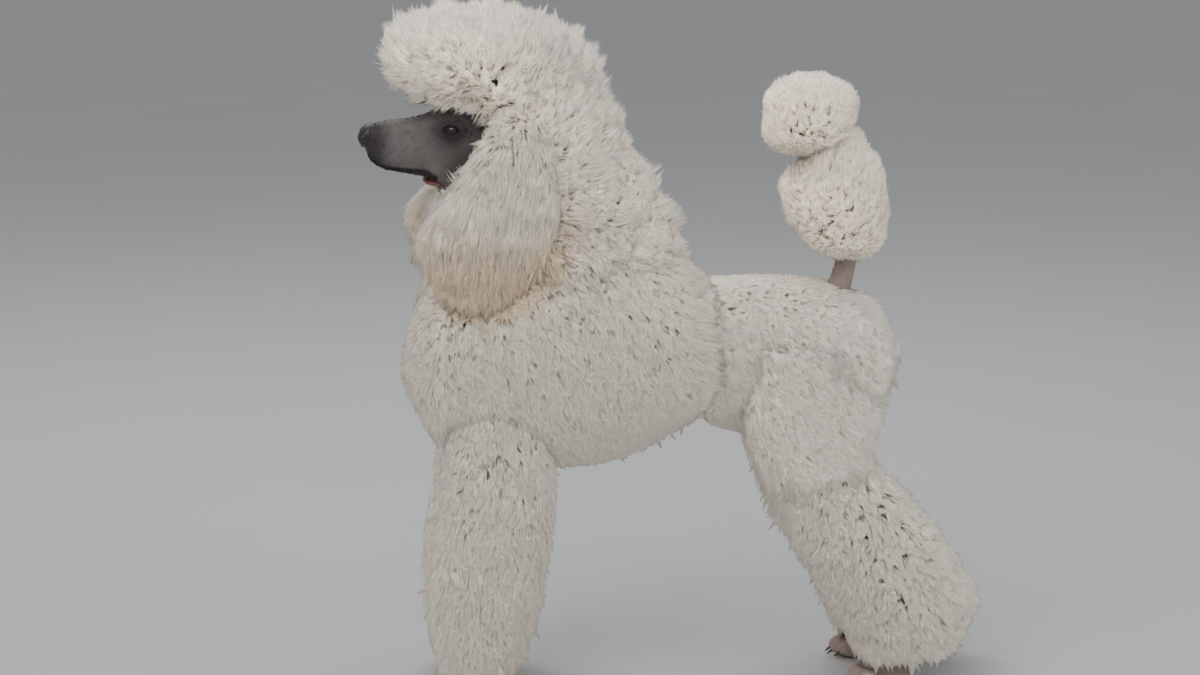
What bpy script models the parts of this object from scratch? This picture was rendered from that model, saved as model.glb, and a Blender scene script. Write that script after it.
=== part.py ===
"""Standing standard poodle in show trim, life size.

Metres, +Z up, floor at z = 0, nose towards -X, the animal's left side towards -Y.
Each form is a closed body through a few sections set square to one axis, taken at the outside of the coat.
Nodes meet on shared planes, or as a stub in a socket cut with the same form, and keep GAP between them.
"""

import math
import random

import bmesh
import bpy
from mathutils import Matrix, Vector

GAP = 0.0003  # between nodes that touch
FAR = 2.0  # past every part of the body, for half spaces
CORE_SIDES = 12
CORE_STEP = 0.055
CORE_LEAST = 0.008
SHORT_EDGE = 0.0055
LEAST_TURN = 0.6  # cosine of how far a face may turn
COAT_MARGIN = 0.003  # from the outline to the tips, so that they stay inside its facets
EAR_MARGIN = 0.0008  # from the ear's inner face to its socket, so that the facets of both stay clear
CLUMP_SIDES = 5
CLUMP_PROFILE = ((1.0, 1.0), (0.30, 0.82))  # depth under the top as a share, width as a share
CLUMP_SUNK = 0.008
LOCK_SUNK = 0.008
LOCK_PROFILE = (0.80, 1.0, 0.70, 0.0)
LOCK_FLAT = 0.36
LOCK_WIDTH = 1.0  # as a share of the spacing
STRAY = 0.20  # how far a lock or clump lies from its row, as a share of the spacing
CLUMP_WIDTH = 0.58
UPRIGHT = "z"
LENGTHWISE = "x"

WHITE = (0.86, 0.83, 0.76)
CREAM = (0.80, 0.72, 0.58)
GREY_SKIN = (0.26, 0.23, 0.22)
PINK_SKIN = (0.62, 0.50, 0.47)
BLACK_LEATHER = (0.02, 0.02, 0.02)
HORN = (0.12, 0.10, 0.09)
EYE_BROWN = (0.05, 0.025, 0.015)
TONGUE_RED = (0.45, 0.12, 0.11)


class Form:
    """A smooth closed body. Each section is (place, low or front, high or back, half width, side offset)."""

    def __init__(self, axis, sections, start=0.0, end=0.0, power=2.2, around=24, step=0.025):
        self.around = around
        self.step = step
        self.axis = axis
        self.sections = sections
        self.start = start
        self.end = end
        self.power = power
        self.first = sections[0][0]
        self.last = sections[-1][0]

    def row(self, place):
        """Section values at a place, by a smooth curve through the given rows."""
        rows = self.sections
        place = min(max(place, self.first), self.last)
        index = 0
        while index < len(rows) - 2 and place > rows[index + 1][0]:
            index += 1
        low, high = rows[index], rows[index + 1]
        width = high[0] - low[0]
        t = (place - low[0]) / width
        before = rows[max(index - 1, 0)]
        after = rows[min(index + 2, len(rows) - 1)]
        values = []
        for k in range(1, 5):
            m0 = (high[k] - before[k]) / (high[0] - before[0]) * width
            m1 = (after[k] - low[k]) / (after[0] - low[0]) * width
            t2, t3 = t * t, t * t * t
            values.append(
                (2 * t3 - 3 * t2 + 1) * low[k]
                + (t3 - 2 * t2 + t) * m0
                + (3 * t2 - 2 * t3) * high[k]
                + (t3 - t2) * m1
            )
        return values

    def taper(self, place):
        """How far a rounded end has closed at this place, 1 for not at all."""
        factor = 1.0
        for depth, away in ((self.start, place - self.first), (self.end, self.last - place)):
            if depth > 0.0 and away < depth:
                factor *= math.sqrt(max(0.0, 1.0 - (1.0 - max(away, 0.0) / depth) ** 2))
        return factor

    def surface(self, angle, place):
        """Surface point; angle 0 faces low or front, a quarter turn faces the left side."""
        low, high, half, offset = self.row(place)
        factor = self.taper(place)
        c, s = math.cos(angle), math.sin(angle)
        u = (low + high) / 2 - math.copysign(abs(c) ** (2.0 / self.power), c) * (high - low) / 2 * factor
        v = offset - math.copysign(abs(s) ** (2.0 / self.power), s) * half * factor
        if self.axis == UPRIGHT:
            return Vector((u, v, place))
        return Vector((place, v, u))

    def normal(self, angle, place):
        """Outward direction at a surface point."""
        turn, shift = 0.02, 0.001
        around = self.surface(angle + turn, place) - self.surface(angle - turn, place)
        along = self.surface(angle, place + shift) - self.surface(angle, place - shift)
        direction = around.cross(along) if self.axis == UPRIGHT else along.cross(around)
        return direction.normalized()

    def point(self, angle, place, depth=0.0):
        """Point at a depth under the surface."""
        return self.surface(angle, place) - self.normal(angle, place) * depth

    def places(self):
        """Places of the rings, closer together where an end is rounded."""
        rings = []
        if self.start:
            count = max(2, round(1.5 * self.start / self.step))
            rings += [self.first + self.start * (1 - math.cos(0.5 * math.pi * i / count)) for i in range(count)]
        a, b = self.first + self.start, self.last - self.end
        count = max(1, round((b - a) / self.step))
        rings += [a + (b - a) * i / count for i in range(count + 1)]
        if self.end:
            count = max(2, round(1.5 * self.end / self.step))
            turns = [0.5 * math.pi * i / count for i in range(1, count + 1)]
            rings += [self.last - self.end * (1 - math.sin(turn)) for turn in turns]
        return rings

    def shrunk(self, by):
        """The same form drawn in by a distance all round, and at its rounded ends."""
        first = self.first + (by if self.start else 0.0)
        last = self.last - (by if self.end else 0.0)
        places = [first] + [row[0] for row in self.sections if first < row[0] < last] + [last]
        sections = []
        for place in places:
            low, high, half, offset = self.row(place)
            middle = (low + high) / 2
            reach = max((high - low) / 2 - by, CORE_LEAST)
            sections.append((place, middle - reach, middle + reach, max(half - by, CORE_LEAST), offset))
        start, end = 0.8 * self.start, 0.8 * self.end
        return Form(self.axis, sections, start, end, self.power, CORE_SIDES, CORE_STEP)

    def solid(self, name, inset=0.0):
        """Closed mesh object of the form, drawn in by inset all round."""
        mesh = bmesh.new()
        around = self.around
        rings = []
        places = self.places()
        for index, place in enumerate(places):
            pole = (index == 0 and self.start) or (index == len(places) - 1 and self.end)
            if pole:
                low, high, _, offset = self.row(place)
                centre = Vector(((low + high) / 2, offset, place))
                if self.axis == LENGTHWISE:
                    centre = Vector((place, offset, (low + high) / 2))
                rings.append([mesh.verts.new(centre)])
            else:
                turn = [2 * math.pi * k / around for k in range(around)]
                rings.append([mesh.verts.new(self.surface(a, place)) for a in turn])
        for lower, upper in zip(rings, rings[1:]):
            for k in range(around):
                n = (k + 1) % around
                if len(lower) == 1:
                    mesh.faces.new((lower[0], upper[k], upper[n]))
                elif len(upper) == 1:
                    mesh.faces.new((lower[k], lower[n], upper[0]))
                else:
                    mesh.faces.new((lower[k], lower[n], upper[n], upper[k]))
        for ring in (rings[0], rings[-1]):
            if len(ring) > 1:
                mesh.faces.new(ring)
        bmesh.ops.recalc_face_normals(mesh, faces=mesh.faces)
        bmesh.ops.triangulate(mesh, faces=mesh.faces)
        mesh.normal_update()
        for vert in mesh.verts:
            vert.co -= vert.normal * inset
        return finished(name, mesh)


def finished(name, mesh):
    """Object from a bmesh, faces outwards."""
    bmesh.ops.recalc_face_normals(mesh, faces=mesh.faces)
    data = bpy.data.meshes.new(name)
    mesh.to_mesh(data)
    mesh.free()
    body = bpy.data.objects.new(name, data)
    bpy.context.scene.collection.objects.link(body)
    return body


def remove(body):
    data = body.data
    bpy.data.objects.remove(body)
    bpy.data.meshes.remove(data)


def measure(data):
    """Volume of a mesh, and the number of its edges that don't join two faces."""
    mesh = bmesh.new()
    mesh.from_mesh(data)
    bmesh.ops.triangulate(mesh, faces=mesh.faces)
    faults = sum(1 for edge in mesh.edges if len(edge.link_faces) != 2)
    volume = mesh.calc_volume()
    mesh.free()
    return volume, faults


def solve(body, operation, limits, **operand):
    """Apply one Boolean, by EXACT, or by MANIFOLD where that gives fewer faults; limits are those of the volume."""
    old = body.data
    least = math.inf
    for solver in ("EXACT", "MANIFOLD"):
        modifier = body.modifiers.new("boolean", "BOOLEAN")
        modifier.operation = operation
        modifier.solver = solver
        for key, value in operand.items():
            setattr(modifier, key, value)
        depsgraph = bpy.context.evaluated_depsgraph_get()
        result = bpy.data.meshes.new_from_object(body.evaluated_get(depsgraph))
        body.modifiers.clear()
        volume, faults = measure(result)
        if limits[0] < volume <= limits[1] and faults < least:
            least = faults
            best = result
        if least == 0:
            break
    body.data = best
    bpy.data.meshes.remove(old)


def combine(body, other, operation):
    """Cut the body by another object, or keep what lies inside it; the other is used up."""
    most = measure(body.data)[0] * (1 + 1e-6)
    solve(body, operation, (0.02 * most, most), object=other)
    remove(other)
    return body


def fuse(body, pieces):
    """Union of a body with a list of closed pieces, which are used up."""
    group = bpy.data.collections.new("pieces")
    bpy.context.scene.collection.children.link(group)
    for piece in pieces:
        group.objects.link(piece)
    volumes = [measure(piece.data)[0] for piece in pieces] + [measure(body.data)[0]]
    limits = (0.999 * max(volumes), 1.001 * sum(volumes))
    solve(body, "UNION", limits, operand_type="COLLECTION", collection=group)
    for piece in pieces:
        remove(piece)
    bpy.data.collections.remove(group)
    merge_short_edges(body)
    return body


def prism(outline, half_width=FAR):
    """Closed body with an outline given in (x, z), reaching half_width to both sides."""
    mesh = bmesh.new()
    near = [mesh.verts.new((x, -half_width, z)) for x, z in outline]
    far = [mesh.verts.new((x, half_width, z)) for x, z in outline]
    mesh.faces.new(near)
    mesh.faces.new(far)
    for k in range(len(outline)):
        n = (k + 1) % len(outline)
        mesh.faces.new((near[k], near[n], far[n], far[k]))
    return finished("prism", mesh)


def beyond(start, end, keep_left, gap=0.0):
    """Half space of one side of the line from start to end in (x, z), drawn back by gap."""
    along = Vector((end[0] - start[0], end[1] - start[1])).normalized()
    side = Vector((-along.y, along.x)) * (1.0 if keep_left else -1.0)
    a = Vector(start) - along * FAR + side * gap
    b = Vector(end) + along * FAR + side * gap
    return prism([tuple(a), tuple(b), tuple(b + side * 2 * FAR), tuple(a + side * 2 * FAR)])


def ball(name, centre, radii, turn=None, divisions=2):
    """Faceted ellipsoid."""
    mesh = bmesh.new()
    bmesh.ops.create_icosphere(mesh, subdivisions=divisions, radius=1.0)
    place = Matrix.Translation(centre) @ (turn or Matrix.Identity(4)) @ Matrix.Diagonal((*radii, 1.0))
    bmesh.ops.transform(mesh, matrix=place, verts=mesh.verts)
    return finished(name, mesh)


def rope(name, path, radii, sides=6, flat=1.0, outward=Vector((0, 1, 0))):
    """Closed tube along a path, a radius at each point; flat thins it towards outward, one for all or a list."""
    mesh = bmesh.new()
    rings = []
    for index, point in enumerate(path):
        ahead = path[min(index + 1, len(path) - 1)] - path[max(index - 1, 0)]
        ahead.normalize()
        face = outward[index] if isinstance(outward, list) else outward
        thin = (face - ahead * face.dot(ahead)).normalized()
        wide = ahead.cross(thin)
        radius = radii[index]
        if radius == 0.0:
            rings.append([mesh.verts.new(point)])
            continue
        turn = [2 * math.pi * k / sides for k in range(sides)]
        ring = [point + (wide * math.cos(a) + thin * math.sin(a) * flat) * radius for a in turn]
        rings.append([mesh.verts.new(spot) for spot in ring])
    for lower, upper in zip(rings, rings[1:]):
        for k in range(sides):
            n = (k + 1) % sides
            corners = [lower[k % len(lower)], lower[n % len(lower)], upper[n % len(upper)], upper[k % len(upper)]]
            mesh.faces.new(list(dict.fromkeys(corners)))
    for ring in (rings[0], rings[-1]):
        if len(ring) > 2:
            mesh.faces.new(ring)
    return finished(name, mesh)


def side_of(line, point):
    """Height of a point over a line given in (x, z), square to it."""
    start, end = Vector(line[0]), Vector(line[1])
    along = (end - start).normalized()
    return along.cross(Vector((point.x, point.z)) - start)


def spots(form, first, last, pitch, wanted=lambda point: True):
    """Staggered places all round a stretch of a form, about pitch apart, as (angle, place)."""
    count = max(1, round((last - first) / (0.87 * pitch)))
    found = []
    for i in range(count + 1):
        place = first + (last - first) * i / count
        ring = [form.surface(2 * math.pi * k / 48, place) for k in range(49)]
        reach = [0.0]
        for one, other in zip(ring, ring[1:]):
            reach.append(reach[-1] + (other - one).length)
        number = max(4, round(reach[-1] / pitch))
        for j in range(number):
            target = reach[-1] * (j + 0.5 * (i % 2) + 0.25) / number % reach[-1]
            k = max(n for n in range(48) if reach[n] <= target)
            angle = 2 * math.pi * (k + (target - reach[k]) / (reach[k + 1] - reach[k])) / 48
            if wanted(form.surface(angle, place)):
                found.append((angle, place))
    return found


def clump(form, angle, place, radius, depth, draw):
    """Rounded clump of curls: a dome whose foot is sunk in the core and whose top reaches the coat's outside."""
    radius *= draw.uniform(0.90, 1.10)
    top = form.point(angle, place, COAT_MARGIN + draw.uniform(0.0, 0.12) * depth)
    outward = form.normal(angle, place)
    side = outward.orthogonal().normalized()
    start = draw.uniform(0.0, math.pi)
    mesh = bmesh.new()
    rings = []
    for share, width in CLUMP_PROFILE:
        centre = top - outward * (share * depth + (CLUMP_SUNK if share == 1.0 else 0.0))
        ring = []
        for k in range(CLUMP_SIDES):
            a = start + 2 * math.pi * k / CLUMP_SIDES
            spread = Matrix.Rotation(a, 3, outward) @ side
            ring.append(mesh.verts.new(centre + spread * radius * width))
        rings.append(ring)
    rings.append([mesh.verts.new(top)])
    mesh.faces.new(rings[0])
    for lower, upper in zip(rings, rings[1:]):
        for k in range(CLUMP_SIDES):
            n = (k + 1) % CLUMP_SIDES
            corners = [lower[k], lower[n], upper[n % len(upper)], upper[k % len(upper)]]
            mesh.faces.new(list(dict.fromkeys(corners)))
    return finished("clump", mesh)


def lock(form, angle, place, turn, travel, width, depth, draw):
    """Flat tapered lock that grows out of the core and bends over along its lie to the coat's outside."""
    width *= draw.uniform(0.85, 1.15)
    travel *= draw.uniform(0.80, 1.20)
    turn += draw.uniform(-0.06, 0.06)
    tip_depth = COAT_MARGIN + draw.uniform(0.0, 0.15) * depth
    root_depth = depth + LOCK_SUNK
    path = []
    outward = []
    for k, _ in enumerate(LOCK_PROFILE):
        t = k / (len(LOCK_PROFILE) - 1)
        under = root_depth + (tip_depth - root_depth) * math.sin(0.5 * math.pi * t) ** 1.2
        a, p = angle + turn * t, place + travel * t
        path.append(form.point(a, p, under))
        outward.append(form.normal(a, p))
    radii = [0.5 * width * share for share in LOCK_PROFILE]
    return rope("lock", path, radii, sides=4, flat=LOCK_FLAT, outward=outward)


def astray(angle, place, pitch, draw):
    """The spot moved a little, so that the rows don't show."""
    return angle + draw.uniform(-0.10, 0.10), place + draw.uniform(-1.0, 1.0) * STRAY * pitch


def clumps(form, found, pitch, depth, draw):
    """Clumps set close near the spots found."""
    return [clump(form, *astray(a, p, pitch, draw), CLUMP_WIDTH * pitch, depth, draw) for a, p in found]


def locks(form, found, pitch, depth, travel, swing, draw):
    """Locks near the spots found; swing carries their tips backwards round the form."""
    made = []
    for spot in found:
        angle, place = astray(*spot, pitch, draw)
        turn = swing * math.sin(angle)
        made.append(lock(form, angle, place, turn, travel, LOCK_WIDTH * pitch, depth, draw))
    return made


def keep_largest(body):
    """Drop every closed surface of the mesh but the one that holds most, and leave triangles."""
    mesh = bmesh.new()
    mesh.from_mesh(body.data)
    seen = set()
    groups = []
    for face in mesh.faces:
        if face in seen:
            continue
        seen.add(face)
        stack, group = [face], []
        while stack:
            current = stack.pop()
            group.append(current)
            for edge in current.edges:
                for other in edge.link_faces:
                    if other not in seen:
                        seen.add(other)
                        stack.append(other)
        groups.append(group)

    def volume(group):
        total = 0.0
        for face in group:
            first, *others = [vert.co for vert in face.verts]
            total += sum(first.cross(one).dot(other) for one, other in zip(others, others[1:]))
        return abs(total)

    largest = max(groups, key=volume)
    extra = [f for group in groups if group is not largest for f in group]
    bmesh.ops.delete(mesh, geom=extra, context="FACES")
    bmesh.ops.triangulate(mesh, faces=mesh.faces)
    mesh.to_mesh(body.data)
    mesh.free()


def may_merge(gone, kept):
    """Whether a corner can move onto its neighbour with the surface still closed and no face turned over."""
    if not (gone.is_manifold and kept.is_manifold):
        return False
    near = {edge.other_vert(gone) for edge in gone.link_edges}
    if len(near & {edge.other_vert(kept) for edge in kept.link_edges}) != 2:
        return False
    for face in gone.link_faces:
        if kept in face.verts:
            continue
        corners = [kept.co if vert is gone else vert.co for vert in face.verts]
        turned = (corners[1] - corners[0]).cross(corners[2] - corners[0])
        if turned.length < 1e-7 or turned.normalized().dot(face.normal) < LEAST_TURN:
            return False
    return True


def merge_short_edges(body):
    """Collapse the slivers that a union leaves where pieces cross."""
    keep_largest(body)
    mesh = bmesh.new()
    mesh.from_mesh(body.data)
    merged = True
    while merged:
        merged = False
        short = [edge for edge in mesh.edges if edge.calc_length() < SHORT_EDGE]
        for edge in sorted(short, key=lambda edge: edge.calc_length()):
            if not edge.is_valid:
                continue
            one, other = edge.verts
            for gone, kept in ((one, other), (other, one)):
                if may_merge(gone, kept):
                    bmesh.ops.weld_verts(mesh, targetmap={gone: kept})
                    for face in kept.link_faces:
                        face.normal_update()
                    merged = True
                    break
    mesh.to_mesh(body.data)
    mesh.free()


def material(name, colour, roughness):
    """Principled material, made once for each name."""
    if name in bpy.data.materials:
        return bpy.data.materials[name]
    made = bpy.data.materials.new(name)
    made.use_nodes = True
    shader = made.node_tree.nodes["Principled BSDF"]
    shader.inputs["Base Color"].default_value = (*colour, 1.0)
    shader.inputs["Roughness"].default_value = roughness
    return made


def name_node(body, name, finish):
    """Give a finished body its node name and material."""
    keep_largest(body)
    body.name = name
    body.data.name = name
    body.data.materials.clear()
    body.data.materials.append(finish)
    body.data.shade_flat()
    return body


def mirrored(body, name):
    """Copy of a left-side node on the right side."""
    mesh = bmesh.new()
    mesh.from_mesh(body.data)
    bmesh.ops.scale(mesh, vec=(1, -1, 1), verts=mesh.verts)
    bmesh.ops.reverse_faces(mesh, faces=mesh.faces)
    copy = finished(name, mesh)
    copy.data.materials.clear()
    copy.data.materials.append(body.data.materials[0])
    return copy


def remove_everything():
    for item in list(bpy.data.objects):
        bpy.data.objects.remove(item)


# Depth of each coat outside its core, and the spacing of its clumps or locks
TOPKNOT_COAT, TOPKNOT_PITCH = 0.045, 0.084
MANE_COAT, MANE_PITCH = 0.034, 0.104
EAR_COAT, EAR_PITCH = 0.014, 0.058
CHEST_COAT, CHEST_PITCH = 0.026, 0.106
FORELEG_COAT, FORELEG_PITCH = 0.024, 0.092
BRACELET_COAT, BRACELET_PITCH = 0.030, 0.102
PLUME_COAT, PLUME_PITCH = 0.027, 0.074
TIP_COAT, TIP_PITCH = 0.028, 0.070

# Planes between nodes, each through two points in (x, z)
JAW_LEVEL = 0.722
CROWN_LEVEL = 0.838
HEAD_BACK = -0.180
HEAD_WEDGE = [(-1.0, JAW_LEVEL), (-0.205, JAW_LEVEL), (-0.150, 1.5), (-1.0, 1.5)]
WITHERS_CUT = ((-0.360, 0.573), (0.020, 0.611))
JACKET_END = 0.060
RUMP_CUT = ((0.095, 0.362), (0.335, 0.455))
HOCK_CUT = ((0.120, 0.300), (0.300, 0.352))
TAIL_CUT = ((0.130, 0.735), (0.290, 0.830))
FORELEG_TOP = 0.405
FORELEG_SHOULDER = 0.335  # from here up the leg fills its socket

CHEST = Form(
    LENGTHWISE,
    (
        (-0.384, 0.405, 0.530, 0.085, 0.0),
        (-0.340, 0.362, 0.610, 0.120, 0.0),
        (-0.280, 0.333, 0.665, 0.140, 0.0),
        (-0.200, 0.319, 0.690, 0.149, 0.0),
        (-0.120, 0.318, 0.690, 0.151, 0.0),
        (-0.050, 0.335, 0.668, 0.146, 0.0),
        (0.010, 0.366, 0.635, 0.134, 0.0),
        (0.045, 0.384, 0.606, 0.120, 0.0),
        (0.070, 0.398, 0.588, 0.102, 0.0),
    ),
    start=0.050,
    around=24,
    step=0.040,
)
NECK = Form(
    UPRIGHT,
    (
        (0.480, -0.300, 0.040, 0.125, 0.0),
        (0.560, -0.335, 0.038, 0.127, 0.0),
        (0.610, -0.348, 0.028, 0.127, 0.0),
        (0.650, -0.350, 0.018, 0.125, 0.0),
        (0.700, -0.338, -0.002, 0.119, 0.0),
        (0.760, -0.310, -0.038, 0.113, 0.0),
        (0.820, -0.280, -0.070, 0.109, 0.0),
        (0.870, -0.260, -0.102, 0.105, 0.0),
        (0.920, -0.250, -0.132, 0.100, 0.0),
        (0.965, -0.250, -0.165, 0.085, 0.0),
    ),
    end=0.030,
    around=24,
    step=0.040,
)
TOPKNOT = Form(
    UPRIGHT,
    (
        (0.700, -0.280, -0.100, 0.082, 0.0),
        (0.760, -0.272, -0.090, 0.084, 0.0),
        (0.815, -0.275, -0.090, 0.088, 0.0),
        (0.845, -0.345, -0.090, 0.096, 0.0),
        (0.875, -0.390, -0.095, 0.106, 0.0),
        (0.905, -0.404, -0.105, 0.111, 0.0),
        (0.940, -0.400, -0.130, 0.110, 0.0),
        (0.965, -0.392, -0.155, 0.106, 0.0),
        (0.986, -0.385, -0.170, 0.102, 0.0),
    ),
    end=0.055,
    around=24,
    step=0.030,
)
FACE = Form(
    LENGTHWISE,
    (
        (-0.433, 0.776, 0.812, 0.0175, 0.0),
        (-0.424, 0.765, 0.816, 0.0205, 0.0),
        (-0.410, 0.755, 0.818, 0.0230, 0.0),
        (-0.390, 0.749, 0.821, 0.0250, 0.0),
        (-0.365, 0.744, 0.824, 0.0285, 0.0),
        (-0.348, 0.740, 0.828, 0.0330, 0.0),
        (-0.334, 0.728, 0.834, 0.0390, 0.0),
        (-0.310, 0.716, 0.852, 0.0470, 0.0),
        (-0.280, 0.714, 0.868, 0.0530, 0.0),
        (-0.240, 0.716, 0.874, 0.0560, 0.0),
        (-0.180, 0.720, 0.862, 0.0500, 0.0),
    ),
    start=0.010,
    power=2.7,
    around=20,
    step=0.024,
)
NOSE = Form(
    LENGTHWISE,
    (
        (-0.4405, 0.787, 0.806, 0.0130, 0.0),
        (-0.4350, 0.783, 0.812, 0.0165, 0.0),
        (-0.4260, 0.782, 0.817, 0.0185, 0.0),
        (-0.4150, 0.786, 0.816, 0.0150, 0.0),
    ),
    start=0.004,
    end=0.006,
    around=12,
    step=0.010,
)
EAR = Form(
    UPRIGHT,
    (
        (0.560, -0.305, -0.235, 0.022, -0.118),
        (0.600, -0.342, -0.208, 0.028, -0.120),
        (0.640, -0.359, -0.186, 0.031, -0.121),
        (0.675, -0.365, -0.172, 0.033, -0.119),
        (0.705, -0.347, -0.165, 0.034, -0.114),
        (0.740, -0.318, -0.163, 0.036, -0.108),
        (0.785, -0.288, -0.168, 0.037, -0.101),
        (0.825, -0.262, -0.180, 0.034, -0.096),
        (0.855, -0.255, -0.195, 0.026, -0.092),
    ),
    start=0.035,
    end=0.020,
    around=14,
    step=0.045,
)
RUMP = Form(
    LENGTHWISE,
    (
        (0.040, 0.380, 0.588, 0.098, 0.0),
        (0.100, 0.362, 0.590, 0.096, 0.0),
        (0.140, 0.352, 0.590, 0.099, 0.0),
        (0.200, 0.352, 0.586, 0.110, 0.0),
        (0.260, 0.370, 0.571, 0.114, 0.0),
        (0.300, 0.392, 0.552, 0.112, 0.0),
        (0.333, 0.415, 0.530, 0.104, 0.0),
    ),
    end=0.045,
    around=22,
    step=0.040,
)
FORELEG = Form(
    UPRIGHT,
    (
        (0.028, -0.336, -0.228, 0.054, -0.080),
        (0.065, -0.346, -0.210, 0.062, -0.080),
        (0.124, -0.350, -0.190, 0.066, -0.080),
        (0.195, -0.348, -0.177, 0.067, -0.080),
        (0.280, -0.336, -0.166, 0.064, -0.078),
        (0.360, -0.328, -0.168, 0.060, -0.074),
        (0.430, -0.320, -0.175, 0.055, -0.072),
    ),
    start=0.032,
    around=14,
    step=0.060,
)
HINDLEG = Form(
    UPRIGHT,
    (
        (0.028, 0.266, 0.378, 0.052, -0.084),
        (0.060, 0.254, 0.414, 0.062, -0.084),
        (0.100, 0.236, 0.434, 0.068, -0.083),
        (0.135, 0.218, 0.440, 0.070, -0.082),
        (0.180, 0.190, 0.418, 0.070, -0.081),
        (0.225, 0.164, 0.388, 0.067, -0.079),
        (0.285, 0.138, 0.336, 0.062, -0.074),
        (0.335, 0.118, 0.297, 0.058, -0.070),
        (0.400, 0.100, 0.306, 0.054, -0.066),
        (0.500, 0.096, 0.328, 0.052, -0.060),
    ),
    start=0.032,
    around=20,
    step=0.040,
)
TAIL_ROOT = Form(
    UPRIGHT,
    (
        (0.548, 0.222, 0.262, 0.020, 0.0),
        (0.566, 0.228, 0.264, 0.018, 0.0),
        (0.590, 0.240, 0.269, 0.0145, 0.0),
        (0.612, 0.246, 0.273, 0.0135, 0.0),
        (0.665, 0.252, 0.276, 0.0120, 0.0),
    ),
    start=0.006,
    end=0.006,
    around=10,
    step=0.030,
)
PLUME = Form(
    UPRIGHT,
    (
        (0.606, 0.212, 0.306, 0.050, 0.0),
        (0.640, 0.190, 0.316, 0.062, 0.0),
        (0.670, 0.172, 0.320, 0.070, 0.0),
        (0.700, 0.163, 0.321, 0.073, 0.0),
        (0.728, 0.162, 0.318, 0.069, 0.0),
        (0.752, 0.182, 0.310, 0.058, 0.0),
        (0.780, 0.196, 0.290, 0.046, 0.0),
        (0.810, 0.214, 0.272, 0.034, 0.0),
    ),
    start=0.030,
    end=0.012,
)
TAIL_TIP = Form(
    UPRIGHT,
    (
        (0.756, 0.134, 0.262, 0.050, 0.0),
        (0.790, 0.134, 0.268, 0.060, 0.0),
        (0.825, 0.134, 0.276, 0.066, 0.0),
        (0.860, 0.137, 0.276, 0.066, 0.0),
        (0.886, 0.142, 0.268, 0.062, 0.0),
    ),
    start=0.035,
    end=0.050,
)
FOREFOOT = Form(
    UPRIGHT,
    (
        (-0.004, -0.300, -0.232, 0.024, -0.080),
        (0.012, -0.303, -0.229, 0.027, -0.080),
        (0.028, -0.298, -0.230, 0.026, -0.080),
        (0.046, -0.288, -0.236, 0.022, -0.080),
        (0.075, -0.282, -0.240, 0.019, -0.080),
    ),
    end=0.010,
    around=12,
    step=0.030,
)
HINDFOOT = Form(
    UPRIGHT,
    (
        (-0.004, 0.276, 0.344, 0.023, -0.084),
        (0.012, 0.273, 0.347, 0.026, -0.084),
        (0.028, 0.280, 0.347, 0.025, -0.084),
        (0.046, 0.294, 0.346, 0.021, -0.084),
        (0.075, 0.305, 0.347, 0.018, -0.084),
    ),
    end=0.010,
    around=12,
    step=0.030,
)
TOE_RADII = (0.017, 0.0092, 0.0155)
TOES = ((-0.0225, 0.009), (-0.0085, 0.0), (0.0085, 0.0), (0.0225, 0.009))  # across the foot, back from its front
EAR_CUP = (-0.248, -0.066, 0.790)
EAR_CUP_RADII = (0.014, 0.012, 0.024)
TOE_ARCH = ((-1.0, -0.25), (-0.72, -0.05), (0.0, 0.05), (0.8, 0.0))
TOE_SHARES = (0.45, 0.88, 1.0, 0.55)
CLAW_LENGTH = 0.014
CLAW_RADIUS = 0.0030

EYE_CENTRE = Vector((-0.3085, -0.0345, 0.8095))
EYE_RADIUS = 0.0115
LID_THICK = 0.0022
LID_LONG = 0.0112
LID_HIGH = 0.0062
EYE_FACING = Vector((-0.45, -0.88, 0.12)).normalized()

NOSTRIL = Vector((-0.4375, -0.0082, 0.7965))
NOSTRIL_RADIUS = 0.0030
LIP_RADIUS = 0.0034
MOUTH_RADIUS = 0.0011

TONGUE = Form(
    LENGTHWISE,
    (
        (-0.350, 0.731, 0.739, 0.0250, 0.0),
        (-0.338, 0.728, 0.739, 0.0300, 0.0),
        (-0.322, 0.725, 0.736, 0.0330, 0.0),
    ),
    start=0.006,
    end=0.005,
    around=10,
    step=0.016,
)


def cut(body, *cutters):
    """Take each cutter out of the body in turn."""
    for cutter in cutters:
        combine(body, cutter, "DIFFERENCE")
    return body


def keep(body, *regions):
    """Keep only what lies inside each region in turn."""
    for region in regions:
        combine(body, region, "INTERSECT")
    return body


def bare_mirror(body):
    """Mirror image of a cutter, which has no material yet."""
    copy = body.copy()
    copy.data = body.data.copy()
    copy.data.transform(Matrix.Diagonal((1, -1, 1, 1)))
    copy.data.flip_normals()
    bpy.context.scene.collection.objects.link(copy)
    return copy


def both_sides(body):
    return [body, bare_mirror(body)]


def eye_axes():
    """Turn that lays X along the slit, Y out of the head and Z across the lids."""
    level = Vector((0, 0, 1)).cross(EYE_FACING).normalized()
    high = EYE_FACING.cross(level).normalized()
    return Matrix((level, EYE_FACING, high)).transposed().to_4x4()


def lid(upper):
    """One eyelid, a tapered roll on the eyeball's surface from corner to corner."""
    turn = eye_axes()
    path = []
    radii = []
    steps = 6
    for k in range(steps + 1):
        a = math.pi * k / steps
        x = LID_LONG * math.cos(a)
        z = LID_HIGH * math.sin(a) ** 0.8 * (1.0 if upper else -0.8)
        y = math.sqrt(EYE_RADIUS**2 - min(x * x + z * z, 0.85 * EYE_RADIUS**2))
        path.append(EYE_CENTRE + turn @ Vector((x, y + 0.0006, z)))
        radii.append(LID_THICK * (0.45 + 0.55 * math.sin(a)))
    return rope("lid", path, radii, sides=5, outward=EYE_FACING)


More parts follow.
